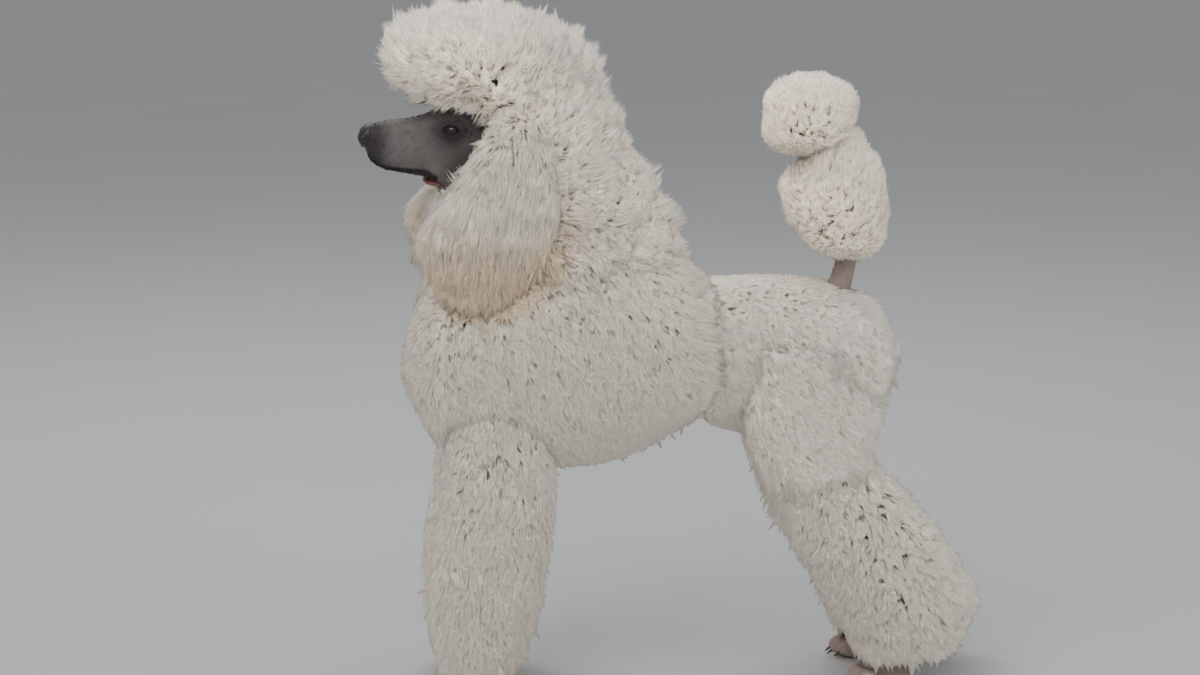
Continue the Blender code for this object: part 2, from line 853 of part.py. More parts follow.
def lips():
    """Rolled edge of the upper lip, from under the nose to the corner of the mouth."""
    steps = 5
    path = []
    for k in range(steps + 1):
        t = k / steps
        path.append(FACE.point(math.radians(26 + 30 * t), -0.426 + 0.092 * t, LIP_RADIUS * 0.55))
    radii = [LIP_RADIUS * (0.75 + 0.4 * k / steps) for k in range(steps + 1)]
    radii[-1] = LIP_RADIUS * 0.6
    return rope("lip", path, radii, sides=5, outward=Vector((0, 0, 1)))


def mouth_line():
    """Thin groove under the lip."""
    steps = 5
    path = []
    for k in range(steps + 1):
        t = k / steps
        path.append(FACE.point(math.radians(14 + 30 * t), -0.428 + 0.092 * t, 0.0))
    return rope("mouth", path, [MOUTH_RADIUS] * (steps + 1), sides=3, outward=Vector((0, 0, 1)))


def slab(low, high):
    """All space between two levels."""
    return prism([(-FAR, low), (FAR, low), (FAR, high), (-FAR, high)])


def make_head():
    """Shaved face and skull, with the hair at the sides of the skull under the crown."""
    skull = FACE.solid("head")
    hair = keep(TOPKNOT.shrunk(0.012).solid("hair"), slab(0.0, CROWN_LEVEL))
    fuse(skull, [hair] + both_sides(lid(True)) + both_sides(lid(False)) + both_sides(lips()))
    keep(skull, prism(HEAD_WEDGE))
    cut(skull, *both_sides(EAR.solid("ear", inset=-GAP)))
    cut(skull, *both_sides(ball("eye", EYE_CENTRE, [EYE_RADIUS + GAP] * 3)))
    opening = ball("slit", EYE_CENTRE + EYE_FACING * 0.008, (LID_LONG * 0.86, 0.016, LID_HIGH * 0.8), eye_axes())
    cut(skull, *both_sides(opening))
    cut(skull, NOSE.solid("nose", inset=-GAP))
    cut(skull, TONGUE.solid("tongue", inset=-GAP))
    cut(skull, *both_sides(mouth_line()))
    return name_node(skull, "head", material("face_skin", GREY_SKIN, 0.7))


def make_topknot():
    """Tall hair over the skull, its locks swept up and forwards."""
    draw = random.Random(2311)
    hair = TOPKNOT.shrunk(TOPKNOT_COAT).solid("topknot")
    sides = spots(TOPKNOT, 0.862, 0.935, TOPKNOT_PITCH, lambda point: point.x < HEAD_BACK + 0.02)
    crown = spots(TOPKNOT, 0.968, 0.984, TOPKNOT_PITCH, lambda point: point.x < HEAD_BACK)
    pieces = locks(TOPKNOT, sides, TOPKNOT_PITCH, TOPKNOT_COAT, 0.040, -0.22, draw)
    pieces += clumps(TOPKNOT, crown, TOPKNOT_PITCH, TOPKNOT_COAT, draw)
    fuse(hair, pieces)
    keep(hair, prism(HEAD_WEDGE), slab(CROWN_LEVEL + GAP, FAR))
    cut(hair, FACE.solid("skull", inset=-GAP))
    cut(hair, *both_sides(EAR.solid("ear", inset=-GAP)))
    name_node(hair, "topknot", material("coat", WHITE, 0.9))


def make_nose():
    nose = NOSE.solid("nose")
    inward = Vector((0.9, 0.35, 0.05)).normalized()
    outward = Vector((0.35, -0.9, -0.25)).normalized()
    bore = rope("nostril", [NOSTRIL - inward * 0.004, NOSTRIL + inward * 0.008], [NOSTRIL_RADIUS] * 2)
    slit = rope("slit", [NOSTRIL, NOSTRIL + outward * 0.010], [0.0016, 0.0010], sides=4)
    groove = prism([(-0.450, 0.780), (-0.4385, 0.780), (-0.4385, 0.797), (-0.450, 0.797)], 0.0005)
    cut(nose, *both_sides(bore), *both_sides(slit), groove)
    name_node(nose, "nose", material("nose_leather", BLACK_LEATHER, 0.35))


def make_face_pieces():
    tongue = TONGUE.solid("tongue")
    name_node(tongue, "tongue", material("tongue", TONGUE_RED, 0.35))
    eye = ball("eye", EYE_CENTRE, [EYE_RADIUS] * 3)
    name_node(eye, "eye_left", material("eye", EYE_BROWN, 0.1))
    mirrored(eye, "eye_right")


def ear_core():
    """Ear leather with the hair next to it, thinner than the coat's outline on the outer side only."""
    thin = EAR_COAT / 2
    places = [EAR.first + EAR_COAT] + [row[0] for row in EAR.sections[1:-1]] + [EAR.last - thin]
    sections = []
    for place in places:
        front, back, half, offset = EAR.row(place)
        sections.append((place, front + EAR_COAT, back - EAR_COAT, half - thin - EAR_MARGIN, offset + thin))
    return Form(UPRIGHT, sections, EAR.start, EAR.end, EAR.power, EAR.around, EAR.step)


def make_ears():
    """Long drop ears with a fringe of flat locks."""
    draw = random.Random(812)
    ear = ear_core().solid("ear")
    outer = [(a, p) for a, p in spots(EAR, 0.640, 0.835, EAR_PITCH) if 0.0 < a < math.pi]
    fuse(ear, locks(EAR, outer, EAR_PITCH, EAR_COAT, -0.062, 0.0, draw))
    keep(ear, EAR.solid("outline"))
    cut(ear, ball("cup", EAR_CUP, EAR_CUP_RADII))
    name_node(ear, "ear_left", material("ear_coat", CREAM, 0.9))
    mirrored(ear, "ear_right")


def make_neck():
    """Neck with its mane of locks that fall backwards."""
    draw = random.Random(213)
    neck = NECK.shrunk(MANE_COAT).solid("neck")
    found = spots(NECK, 0.640, 0.945, MANE_PITCH, lambda point: point.x > HEAD_BACK or point.z < JAW_LEVEL)
    fuse(neck, locks(NECK, found, MANE_PITCH, MANE_COAT, -0.052, 0.26, draw))
    wedge = [(x + (GAP if x > -0.9 else 0.0), z - (GAP if z < 1.0 else 0.0)) for x, z in HEAD_WEDGE]
    cut(neck, prism(wedge))
    keep(neck, beyond(*WITHERS_CUT, keep_left=True, gap=GAP))
    cut(neck, *both_sides(EAR.solid("ear", inset=-GAP)))
    name_node(neck, "neck", material("coat", WHITE, 0.9))


def foreleg_socket():
    leg = FORELEG.solid("socket", inset=-GAP)
    return keep(leg, slab(-1.0, FORELEG_TOP + GAP))


def make_torso_front():
    """Chest and shoulders in a jacket of rounded clumps."""
    draw = random.Random(1014)
    chest = CHEST.shrunk(CHEST_COAT).solid("torso_front")
    pieces = [NECK.shrunk(MANE_COAT).solid("base")]
    found = spots(CHEST, -0.372, 0.020, CHEST_PITCH, lambda point: side_of(WITHERS_CUT, point) < 0.0)
    pieces += clumps(CHEST, found, CHEST_PITCH, CHEST_COAT, draw)
    fuse(chest, pieces)
    keep(chest, beyond(*WITHERS_CUT, keep_left=False))
    keep(chest, prism([(-1, 0), (JACKET_END, 0), (JACKET_END, 1), (-1, 1)]))
    cut(chest, *both_sides(EAR.solid("ear", inset=-GAP)))
    cut(chest, *both_sides(foreleg_socket()))
    name_node(chest, "torso_front", material("coat", WHITE, 0.9))


def make_torso_rear():
    """Loin and rump, clipped short."""
    rump = RUMP.solid("torso_rear")
    start = JACKET_END + GAP
    keep(rump, prism([(start, 0), (1, 0), (1, 1), (start, 1)]))
    keep(rump, beyond(*RUMP_CUT, keep_left=True, gap=GAP))
    cut(rump, TAIL_ROOT.solid("tail", inset=-GAP))
    name_node(rump, "torso_rear", material("clipped_coat", WHITE, 0.9))


def make_forelegs():
    """Straight forelegs, a full column of clumps."""
    draw = random.Random(316)
    leg = FORELEG.shrunk(FORELEG_COAT).solid("foreleg")
    found = spots(FORELEG, 0.050, 0.300, FORELEG_PITCH)
    shoulder = keep(FORELEG.solid("shoulder"), slab(FORELEG_SHOULDER, FORELEG_TOP + GAP))
    fuse(leg, clumps(FORELEG, found, FORELEG_PITCH, FORELEG_COAT, draw) + [shoulder])
    keep(leg, slab(-1.0, FORELEG_TOP))
    cut(leg, FOREFOOT.solid("foot", inset=-GAP))
    name_node(leg, "foreleg_left", material("coat", WHITE, 0.9))
    mirrored(leg, "foreleg_right")


def make_hindlegs():
    """Clipped thighs over full bracelets of locks."""
    draw = random.Random(317)
    thigh = HINDLEG.solid("thigh")
    keep(thigh, beyond(*RUMP_CUT, keep_left=False), beyond(*HOCK_CUT, keep_left=True, gap=GAP))
    name_node(thigh, "thigh_left", material("clipped_coat", WHITE, 0.9))
    mirrored(thigh, "thigh_right")
    hock = HINDLEG.shrunk(BRACELET_COAT).solid("hock")
    found = spots(HINDLEG, 0.078, 0.375, BRACELET_PITCH)
    fuse(hock, locks(HINDLEG, found, BRACELET_PITCH, BRACELET_COAT, -0.045, 0.16, draw))
    keep(hock, beyond(*HOCK_CUT, keep_left=False))
    cut(hock, HINDFOOT.solid("foot", inset=-GAP))
    name_node(hock, "lower_hindleg_left", material("coat", WHITE, 0.9))
    mirrored(hock, "lower_hindleg_right")


def claw(form, across, back):
    """Hooked claw in front of one toe, its root sunk in the toe."""
    low, _, _, offset = form.row(0.012)
    root = Vector((low - TOE_RADII[0] * 0.55 + back, offset + across, 0.0125))
    drop = (0.0, 0.0012, 0.0040, 0.0085)
    path = [root + Vector((-CLAW_LENGTH * k / 3, 0, -drop[k])) for k in range(4)]
    return rope("claw", path, [CLAW_RADIUS, CLAW_RADIUS * 0.9, CLAW_RADIUS * 0.6, 0.0], sides=6)


def toe(centre):
    """Arched toe, a short roll that narrows to both ends."""
    path = [centre + Vector((TOE_RADII[0] * x, 0, TOE_RADII[2] * z)) for x, z in TOE_ARCH]
    return rope("toe", path, [TOE_RADII[1] * share for share in TOE_SHARES], sides=7, flat=1.6)


def make_foot(form, name):
    """Compact oval foot with four arched toes and their claws, on flat pads."""
    foot = form.solid(name)
    low, _, _, offset = form.row(0.012)
    toes = []
    for across, back in TOES:
        toes.append(toe(Vector((low + 0.004 + back, offset + across, 0.0145))))
    fuse(foot, toes)
    keep(foot, prism([(-1, 0), (1, 0), (1, 1), (-1, 1)]))
    for index, (across, back) in enumerate(TOES):
        nail = claw(form, across, back)
        socket = nail.copy()
        socket.data = nail.data.copy()
        bpy.context.scene.collection.objects.link(socket)
        centre = nail.data.vertices[0].co.copy()
        grow = Matrix.Translation(centre) @ Matrix.Scale(1 + 2 * GAP / CLAW_RADIUS, 4)
        socket.data.transform(grow @ Matrix.Translation(-centre))
        cut(foot, socket)
        name_node(nail, f"{name}_left_claw_{index + 1}", material("horn", HORN, 0.4))
        mirrored(nail, f"{name}_right_claw_{index + 1}")
    name_node(foot, f"{name}_left", material("foot_skin", PINK_SKIN, 0.7))
    mirrored(foot, f"{name}_right")


def make_tail():
    """Shaved root, a plume whose locks stand out and up, and the folded tip as a ball."""
    draw = random.Random(518)
    root = TAIL_ROOT.solid("tail_root")
    name_node(root, "tail_root", material("tail_skin", PINK_SKIN, 0.7))
    plume = PLUME.shrunk(PLUME_COAT).solid("plume")
    found = spots(PLUME, 0.622, 0.760, PLUME_PITCH)
    fuse(plume, locks(PLUME, found, PLUME_PITCH, PLUME_COAT, 0.034, 0.0, draw))
    keep(plume, beyond(*TAIL_CUT, keep_left=False))
    cut(plume, TAIL_ROOT.solid("tail", inset=-GAP))
    name_node(plume, "tail_plume", material("coat", WHITE, 0.9))
    tip = TAIL_TIP.shrunk(TIP_COAT).solid("tip")
    found = spots(TAIL_TIP, 0.772, 0.876, TIP_PITCH, lambda point: side_of(TAIL_CUT, point) > 0.0)
    fuse(tip, clumps(TAIL_TIP, found, TIP_PITCH, TIP_COAT, draw))
    keep(tip, beyond(*TAIL_CUT, keep_left=True, gap=GAP))
    name_node(tip, "tail_tip", material("coat", WHITE, 0.9))


def main():
    remove_everything()
    make_head()
    make_topknot()
    make_nose()
    make_face_pieces()
    make_ears()
    make_neck()
    make_torso_front()
    make_torso_rear()
    make_forelegs()
    make_hindlegs()
    make_foot(FOREFOOT, "forefoot")
    make_foot(HINDFOOT, "hindfoot")
    make_tail()


if __name__ == "__main__":
    main()
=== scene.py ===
"""Life-size standard poodle in show trim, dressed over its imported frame.

Metres, +Z up, floor at z = 0, nose towards -X, the animal's left side towards -Y.
One skin carries the whole body. The coat is tufts of solid mesh rooted in it. Eyes, nose, tongue and claws
are pieces of their own.
"""

import logging
import math
from dataclasses import dataclass, field, replace
from enum import Enum
from typing import Any, Callable

import bmesh
import bpy
import numpy as np
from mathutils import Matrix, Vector


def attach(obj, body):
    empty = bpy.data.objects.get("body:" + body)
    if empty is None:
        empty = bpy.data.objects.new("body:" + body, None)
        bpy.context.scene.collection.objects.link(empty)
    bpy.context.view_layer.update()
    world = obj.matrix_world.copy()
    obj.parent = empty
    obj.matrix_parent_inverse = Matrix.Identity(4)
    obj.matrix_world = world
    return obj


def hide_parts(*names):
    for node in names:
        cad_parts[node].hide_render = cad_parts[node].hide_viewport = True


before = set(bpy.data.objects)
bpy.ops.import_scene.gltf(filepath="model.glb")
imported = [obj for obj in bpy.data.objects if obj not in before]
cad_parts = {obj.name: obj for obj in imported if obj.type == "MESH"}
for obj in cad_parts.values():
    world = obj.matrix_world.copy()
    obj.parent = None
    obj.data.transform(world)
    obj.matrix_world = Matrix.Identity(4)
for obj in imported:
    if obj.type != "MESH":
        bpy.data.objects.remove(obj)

LOG = logging.getLogger("poodle")
BODY = "root"
BAKE_MAP = "OFBake"
BAKE_PATCH = 0.003
EVEN_STEPS = (0.7548776662, 0.5698402910)  # a sequence with these steps fills a square evenly
FULL_TURN = 2 * math.pi
TINT = "tint"
LAY = "lay"
SIDES = (("left", -1.0), ("right", 1.0))

UP = np.array((0.0, 0.0, 1.0))
BACK = np.array((1.0, 0.0, 0.0))
ACROSS = np.array((0.0, 1.0, 0.0))

Spots = tuple[tuple[float, float, float], ...]
Comb = Callable[[np.ndarray, np.ndarray], np.ndarray]
Keep = Callable[[np.ndarray], np.ndarray]


class Axis(Enum):
    """Axis that a form's sections are square to, as its place among x, y and z."""

    LENGTHWISE = 0
    UPRIGHT = 2


class Slot(Enum):
    """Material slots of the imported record."""

    COAT = "coat"
    EAR_COAT = "ear_coat"
    FACE = "face_skin"
    BARE = "bare_skin"
    NOSE = "nose_leather"
    TONGUE = "tongue"
    EYE = "eye"
    HORN = "horn"


def unit(vectors: np.ndarray) -> np.ndarray:
    """Vectors scaled to length one."""
    return vectors / np.maximum(np.linalg.norm(vectors, axis=-1, keepdims=True), 1e-12)


def smooth_step(low: float, high: float, value: np.ndarray) -> np.ndarray:
    """0 at low, 1 at high, and a smooth change between them."""
    t = np.clip((value - low) / (high - low), 0.0, 1.0)
    return t * t * (3.0 - 2.0 * t)


def blob(points: np.ndarray, centre: tuple[float, ...], radii: tuple[float, ...]) -> np.ndarray:
    """A soft bump of height 1 round a centre, with one reach for each axis."""
    away = (points - np.array(centre)) / np.array(radii)
    return np.exp(-np.sum(away * away, axis=-1))


def crowded(low: float, high: float, number: int, spots: Spots) -> np.ndarray:
    """Places from low to high that lie closer together at some spots.

    Args:
        low: First place.
        high: Last place.
        number: How many places.
        spots: Middle, reach and gain of each crowded spot.

    Returns:
        Rising places.
    """
    line = np.linspace(low, high, 2000)
    density = np.ones_like(line)
    for middle, reach, gain in spots:
        density = density + gain * np.exp(-(((line - middle) / reach) ** 2))
    total = np.concatenate(((0.0,), np.cumsum((density[1:] + density[:-1]) / 2)))
    return np.interp(np.linspace(0.0, total[-1], number), total, line)


@dataclass(frozen=True)
class Form:
    """A smooth closed body through sections set square to one axis, at the outside of the coat.

    Each row is (place, low or front, high or back, half width, side offset).
    """

    axis: Axis
    rows: tuple[tuple[float, ...], ...]
    start: float = 0.0
    end: float = 0.0
    power: float = 2.2

    @property
    def first(self) -> float:
        """Lowest place."""
        return self.rows[0][0]

    @property
    def last(self) -> float:
        """Highest place."""
        return self.rows[-1][0]

    def values(self, place: np.ndarray) -> np.ndarray:
        """Section values by a smooth curve through the rows.

        Args:
            place: Places along the axis.

        Returns:
            Low, high, half width and offset for each place.
        """
        rows = np.array([(*row, 0.0)[:5] for row in self.rows])
        place = np.clip(place, self.first, self.last)
        index = np.clip(np.searchsorted(rows[:, 0], place) - 1, 0, len(rows) - 2)
        low, high = rows[index], rows[index + 1]
        before = rows[np.maximum(index - 1, 0)]
        after = rows[np.minimum(index + 2, len(rows) - 1)]
        width = (high - low)[:, :1]
        t = (place[:, None] - low[:, :1]) / width
        slope_in = (high - before) / (high - before)[:, :1] * width
        slope_out = (after - low) / (after - low)[:, :1] * width
        t2, t3 = t * t, t * t * t
        mixed = (2 * t3 - 3 * t2 + 1) * low + (t3 - 2 * t2 + t) * slope_in
        mixed += (3 * t2 - 2 * t3) * high + (t3 - t2) * slope_out
        return mixed[:, 1:]

    def taper(self, place: np.ndarray) -> np.ndarray:
        """How much of the section a rounded end leaves.

        Args:
            place: Places along the axis.

        Returns:
            A share from 0 to 1 for each place.
        """
        factor = np.ones_like(place)
        for depth, away in ((self.start, place - self.first), (self.end, self.last - place)):
            if depth > 0.0:
                gone = 1.0 - np.clip(away, 0.0, depth) / depth
                factor = factor * np.sqrt(np.maximum(1.0 - gone**2, 0.0))
        return factor

    def surface(self, angle: np.ndarray, place: np.ndarray) -> np.ndarray:
        """Points of the surface.

        Args:
            angle: Turns round the axis, 0 towards low or front, a quarter turn towards the left side.
            place: Places along the axis.

        Returns:
            A point for each pair.
        """
        low, high, half, offset = self.values(place).T
        factor = self.taper(place)
        c, s = np.cos(angle), np.sin(angle)
        u = (low + high) / 2 - np.sign(c) * np.abs(c) ** (2 / self.power) * (high - low) / 2 * factor
        v = offset - np.sign(s) * np.abs(s) ** (2 / self.power) * half * factor
        if self.axis is Axis.UPRIGHT:
            return np.stack((u, v, place), axis=1)
        return np.stack((place, v, u), axis=1)

    def normal(self, angle: np.ndarray, place: np.ndarray) -> np.ndarray:
        """Outward directions at points of the surface.

        Args:
            angle: Turns round the axis.
            place: Places along the axis.

        Returns:
            A direction for each pair.
        """
        turn, shift = 0.03, 0.0012
        around = self.surface(angle + turn, place) - self.surface(angle - turn, place)
        along = self.surface(angle, place + shift) - self.surface(angle, place - shift)
        outward = np.cross(around, along) if self.axis is Axis.UPRIGHT else np.cross(along, around)
        return unit(outward)

    def depth_of(self, points: np.ndarray) -> np.ndarray:
        """Rough distance of points under the surface.

        Args:
            points: Any points.

        Returns:
            A distance for each point, negative outside.
        """
        place = points[:, self.axis.value]
        low, high, half, offset = self.values(place).T
        across = points[:, 0 if self.axis is Axis.UPRIGHT else 2]
        factor = np.maximum(self.taper(place), 1e-3)
        long_side = (high - low) / 2 * factor
        short_side = half * factor
        u = np.abs(across - (low + high) / 2) / long_side
        v = np.abs(points[:, 1] - offset) / short_side
        share = (u**self.power + v**self.power) ** (1 / self.power)
        depth = (1.0 - share) * np.minimum(long_side, short_side)
        return np.where((place < self.first) | (place > self.last), -1.0, depth)

    def unwrap(self, points: np.ndarray) -> np.ndarray:
        """Turn and place of points round the form.

        Args:
            points: Points on or near the surface.

        Returns:
            Two shares from 0 to 1 for each point.
        """
        place = points[:, self.axis.value]
        low, high, _, offset = self.values(place).T
        across = points[:, 0 if self.axis is Axis.UPRIGHT else 2]
        turn = np.arctan2(offset - points[:, 1], (low + high) / 2 - across) / FULL_TURN
        share = (place - self.first) / (self.last - self.first)
        return np.stack((turn % 1.0, share.clip(0.0, 1.0)), axis=1)

    def other_side(self) -> "Form":
        """The same form on the right side of the body."""
        return replace(self, rows=tuple((*row[:4], -row[4]) for row in self.rows))

    def on_side(self, side: float) -> "Form":
        """The form of the left side, or its mirror."""
        return self if side < 0 else self.other_side()

    def between(self, low: float, high: float) -> "Form":
        """The stretch of rows between two places, with flat ends where it is cut.

        Args:
            low: First place.
            high: Last place.

        Returns:
            The shorter form.
        """
        rows = tuple(row for row in self.rows if low <= row[0] <= high)
        start = self.start if rows[0] == self.rows[0] else 0.0
        end = self.end if rows[-1] == self.rows[-1] else 0.0
        return replace(self, rows=rows, start=start, end=end)

    def drawn_in(self, by: float, least: float = 0.008) -> "Form":
        """The same form drawn in all round.

        Args:
            by: Distance from this surface to the new one.
            least: Smallest half width that stays.

        Returns:
            The inner form.
        """
        first = self.first + (by if self.start else 0.0)
        last = self.last - (by if self.end else 0.0)
        inner = [row[0] for row in self.rows if first < row[0] < last]
        places = np.array([first, *inner, last])
        rows = []
        for place, (low, high, half, offset) in zip(places, self.values(places)):
            reach = max((high - low) / 2 - by, least)
            middle = (low + high) / 2
            rows.append((float(place), middle - reach, middle + reach, max(half - by, least), offset))
        return replace(self, rows=tuple(rows), start=0.8 * self.start, end=0.8 * self.end)

    def places(self, step: float) -> np.ndarray:
        """Places for rings, closer together where an end is rounded.

        Args:
            step: Distance between rings elsewhere.

        Returns:
            Rising places.
        """
        low, high = self.first, self.last
        parts = []
        if self.start:
            turn = np.linspace(0.0, math.pi / 2, max(int(2.0 * self.start / step), 7))
            parts.append(low + self.start * (1.0 - np.cos(turn)))
            low = low + self.start + step
        tail = []
        if self.end:
            turn = np.linspace(math.pi / 2, 0.0, max(int(2.0 * self.end / step), 7))
            tail.append(high - self.end * (1.0 - np.cos(turn)))
            high = high - self.end - step
        parts.append(np.linspace(low, high, max(int((high - low) / step), 2)))
        return np.unique(np.concatenate(parts + tail))

    def rings(self, step: float, around: int) -> np.ndarray:
        """Rings of surface points from one end to the other, shape (rings, around, 3)."""
        return self.grid(self.places(step), np.linspace(0.0, FULL_TURN, around, endpoint=False))

    def grid(self, places: np.ndarray, angles: np.ndarray) -> np.ndarray:
        """Surface points at every place and angle, shape (places, angles, 3)."""
        place, angle = np.meshgrid(places, angles, indexing="ij")
        return self.surface(angle.ravel(), place.ravel()).reshape(len(places), len(angles), 3)


CHEST = Form(
    Axis.LENGTHWISE,
    (
        (-0.384, 0.405, 0.530, 0.085),
        (-0.340, 0.362, 0.610, 0.120),
        (-0.280, 0.333, 0.665, 0.140),
        (-0.200, 0.319, 0.690, 0.149),
        (-0.120, 0.318, 0.690, 0.151),
        (-0.050, 0.335, 0.668, 0.146),
        (0.010, 0.366, 0.635, 0.134),
        (0.045, 0.384, 0.606, 0.120),
        (0.070, 0.398, 0.588, 0.102),
    ),
    start=0.050,
    end=0.026,
)
NECK = Form(
    Axis.UPRIGHT,
    (
        (0.480, -0.300, 0.040, 0.125),
        (0.560, -0.335, 0.038, 0.127),
        (0.610, -0.348, 0.028, 0.127),
        (0.650, -0.350, 0.018, 0.125),
        (0.700, -0.338, -0.002, 0.119),
        (0.760, -0.310, -0.038, 0.113),
        (0.820, -0.280, -0.070, 0.109),
        (0.870, -0.260, -0.102, 0.105),
        (0.920, -0.250, -0.132, 0.100),
        (0.965, -0.250, -0.165, 0.085),
    ),
    end=0.030,
)
TOPKNOT = Form(
    Axis.UPRIGHT,
    (
        (0.700, -0.280, -0.100, 0.082),
        (0.760, -0.272, -0.090, 0.084),
        (0.815, -0.275, -0.090, 0.088),
        (0.845, -0.345, -0.090, 0.096),
        (0.875, -0.390, -0.095, 0.106),
        (0.905, -0.404, -0.105, 0.111),
        (0.940, -0.400, -0.130, 0.110),
        (0.965, -0.392, -0.155, 0.106),
        (0.986, -0.385, -0.170, 0.102),
    ),
    end=0.055,
)
FACE = Form(
    Axis.LENGTHWISE,
    (
        (-0.433, 0.776, 0.812, 0.0175),
        (-0.424, 0.765, 0.816, 0.0205),
        (-0.410, 0.755, 0.818, 0.0230),
        (-0.390, 0.749, 0.821, 0.0250),
        (-0.365, 0.744, 0.824, 0.0285),
        (-0.348, 0.740, 0.828, 0.0330),
        (-0.334, 0.728, 0.834, 0.0390),
        (-0.310, 0.716, 0.852, 0.0470),
        (-0.280, 0.714, 0.868, 0.0530),
        (-0.240, 0.716, 0.874, 0.0560),
        (-0.180, 0.720, 0.862, 0.0500),
    ),
    start=0.010,
    power=2.7,
)
NOSE = Form(
    Axis.LENGTHWISE,
    (
        (-0.4405, 0.787, 0.806, 0.0130),
        (-0.4350, 0.783, 0.812, 0.0165),
        (-0.4260, 0.782, 0.817, 0.0185),
        (-0.4150, 0.786, 0.816, 0.0150),
    ),
    start=0.004,
    end=0.006,
)
EAR = Form(
    Axis.UPRIGHT,
    (
        (0.560, -0.305, -0.235, 0.022, -0.118),
        (0.600, -0.342, -0.208, 0.028, -0.120),
        (0.640, -0.359, -0.186, 0.031, -0.121),
        (0.675, -0.365, -0.172, 0.033, -0.119),
        (0.705, -0.347, -0.165, 0.034, -0.114),
        (0.740, -0.318, -0.163, 0.036, -0.108),
        (0.785, -0.288, -0.168, 0.037, -0.101),
        (0.825, -0.262, -0.180, 0.034, -0.096),
        (0.855, -0.255, -0.195, 0.026, -0.092),
    ),
    start=0.035,
    end=0.020,
)
RUMP = Form(
    Axis.LENGTHWISE,
    (
        (0.040, 0.380, 0.588, 0.098),
        (0.100, 0.362, 0.590, 0.096),
        (0.140, 0.352, 0.590, 0.099),
        (0.200, 0.352, 0.586, 0.110),
        (0.260, 0.370, 0.571, 0.114),
        (0.300, 0.392, 0.552, 0.112),
        (0.333, 0.415, 0.530, 0.104),
    ),
    end=0.045,
)
FORELEG = Form(
    Axis.UPRIGHT,
    (
        (0.028, -0.336, -0.228, 0.054, -0.080),
        (0.065, -0.346, -0.210, 0.062, -0.080),
        (0.124, -0.350, -0.190, 0.066, -0.080),
        (0.195, -0.348, -0.177, 0.067, -0.080),
        (0.280, -0.336, -0.166, 0.064, -0.078),
        (0.360, -0.328, -0.168, 0.060, -0.074),
        (0.430, -0.320, -0.175, 0.055, -0.072),
    ),
    start=0.032,
)
HINDLEG = Form(
    Axis.UPRIGHT,
    (
        (0.028, 0.266, 0.378, 0.052, -0.084),
        (0.060, 0.254, 0.414, 0.062, -0.084),
        (0.100, 0.236, 0.434, 0.068, -0.083),
        (0.135, 0.218, 0.440, 0.070, -0.082),
        (0.180, 0.190, 0.418, 0.070, -0.081),
        (0.225, 0.164, 0.388, 0.067, -0.079),
        (0.285, 0.138, 0.336, 0.062, -0.074),
        (0.335, 0.118, 0.297, 0.058, -0.070),
        (0.400, 0.100, 0.306, 0.054, -0.066),
        (0.500, 0.096, 0.328, 0.052, -0.060),
    ),
    start=0.032,
)
TAIL_ROOT = Form(
    Axis.UPRIGHT,
    (
        (0.548, 0.222, 0.262, 0.0200),
        (0.566, 0.228, 0.264, 0.0180),
        (0.590, 0.240, 0.269, 0.0145),
        (0.612, 0.246, 0.273, 0.0135),
        (0.665, 0.252, 0.276, 0.0120),
    ),
    start=0.006,
    end=0.006,
)
PLUME = Form(
    Axis.UPRIGHT,
    (
        (0.606, 0.212, 0.306, 0.050),
        (0.640, 0.190, 0.316, 0.062),
        (0.670, 0.172, 0.320, 0.070),
        (0.700, 0.163, 0.321, 0.073),
        (0.728, 0.162, 0.318, 0.069),
        (0.752, 0.182, 0.310, 0.058),
        (0.780, 0.196, 0.290, 0.046),
        (0.810, 0.214, 0.272, 0.034),
    ),
    start=0.030,
    end=0.012,
)
TAIL_TIP = Form(
    Axis.UPRIGHT,
    (
        (0.756, 0.134, 0.262, 0.050),
        (0.790, 0.134, 0.268, 0.060),
        (0.825, 0.134, 0.276, 0.066),
        (0.860, 0.137, 0.276, 0.066),
        (0.886, 0.142, 0.268, 0.062),
    ),
    start=0.035,
    end=0.050,
)
FOREFOOT = Form(
    Axis.UPRIGHT,
    (
        (-0.004, -0.300, -0.232, 0.024, -0.080),
        (0.012, -0.303, -0.229, 0.027, -0.080),
        (0.028, -0.298, -0.230, 0.026, -0.080),
        (0.046, -0.288, -0.236, 0.022, -0.080),
        (0.075, -0.282, -0.240, 0.019, -0.080),
    ),
    end=0.010,
)
HINDFOOT = Form(
    Axis.UPRIGHT,
    (
        (-0.004, 0.276, 0.344, 0.023, -0.084),
        (0.012, 0.273, 0.347, 0.026, -0.084),
        (0.028, 0.280, 0.347, 0.025, -0.084),
        (0.046, 0.294, 0.346, 0.021, -0.084),
        (0.075, 0.305, 0.347, 0.018, -0.084),
    ),
    end=0.010,
)
TONGUE = Form(
    Axis.LENGTHWISE,
    (
        (-0.350, 0.731, 0.739, 0.0250),
        (-0.338, 0.728, 0.739, 0.0300),
        (-0.322, 0.725, 0.736, 0.0330),
    ),
    start=0.006,
    end=0.005,
)

CLIPPED_DEPTH = 0.010
CLIPPED_CORE = CLIPPED_DEPTH + 0.002
TOPKNOT_DEPTH = 0.045
MANE_DEPTH = 0.034
EAR_DEPTH = 0.014
JACKET_DEPTH = 0.026
FORELEG_DEPTH = 0.024
BRACELET_DEPTH = 0.030
PLUME_DEPTH = 0.027
TIP_DEPTH = 0.028
JACKET_END = 0.060
HOCK_FRONT = (0.120, 0.300)
HOCK_BACK = (0.300, 0.352)


def above_hock(points: np.ndarray) -> np.ndarray:
    """Height of points over the slanting top of the hind bracelets."""
    slope = (HOCK_BACK[1] - HOCK_FRONT[1]) / (HOCK_BACK[0] - HOCK_FRONT[0])
    return points[..., 2] - HOCK_FRONT[1] - slope * (points[..., 0] - HOCK_FRONT[0])


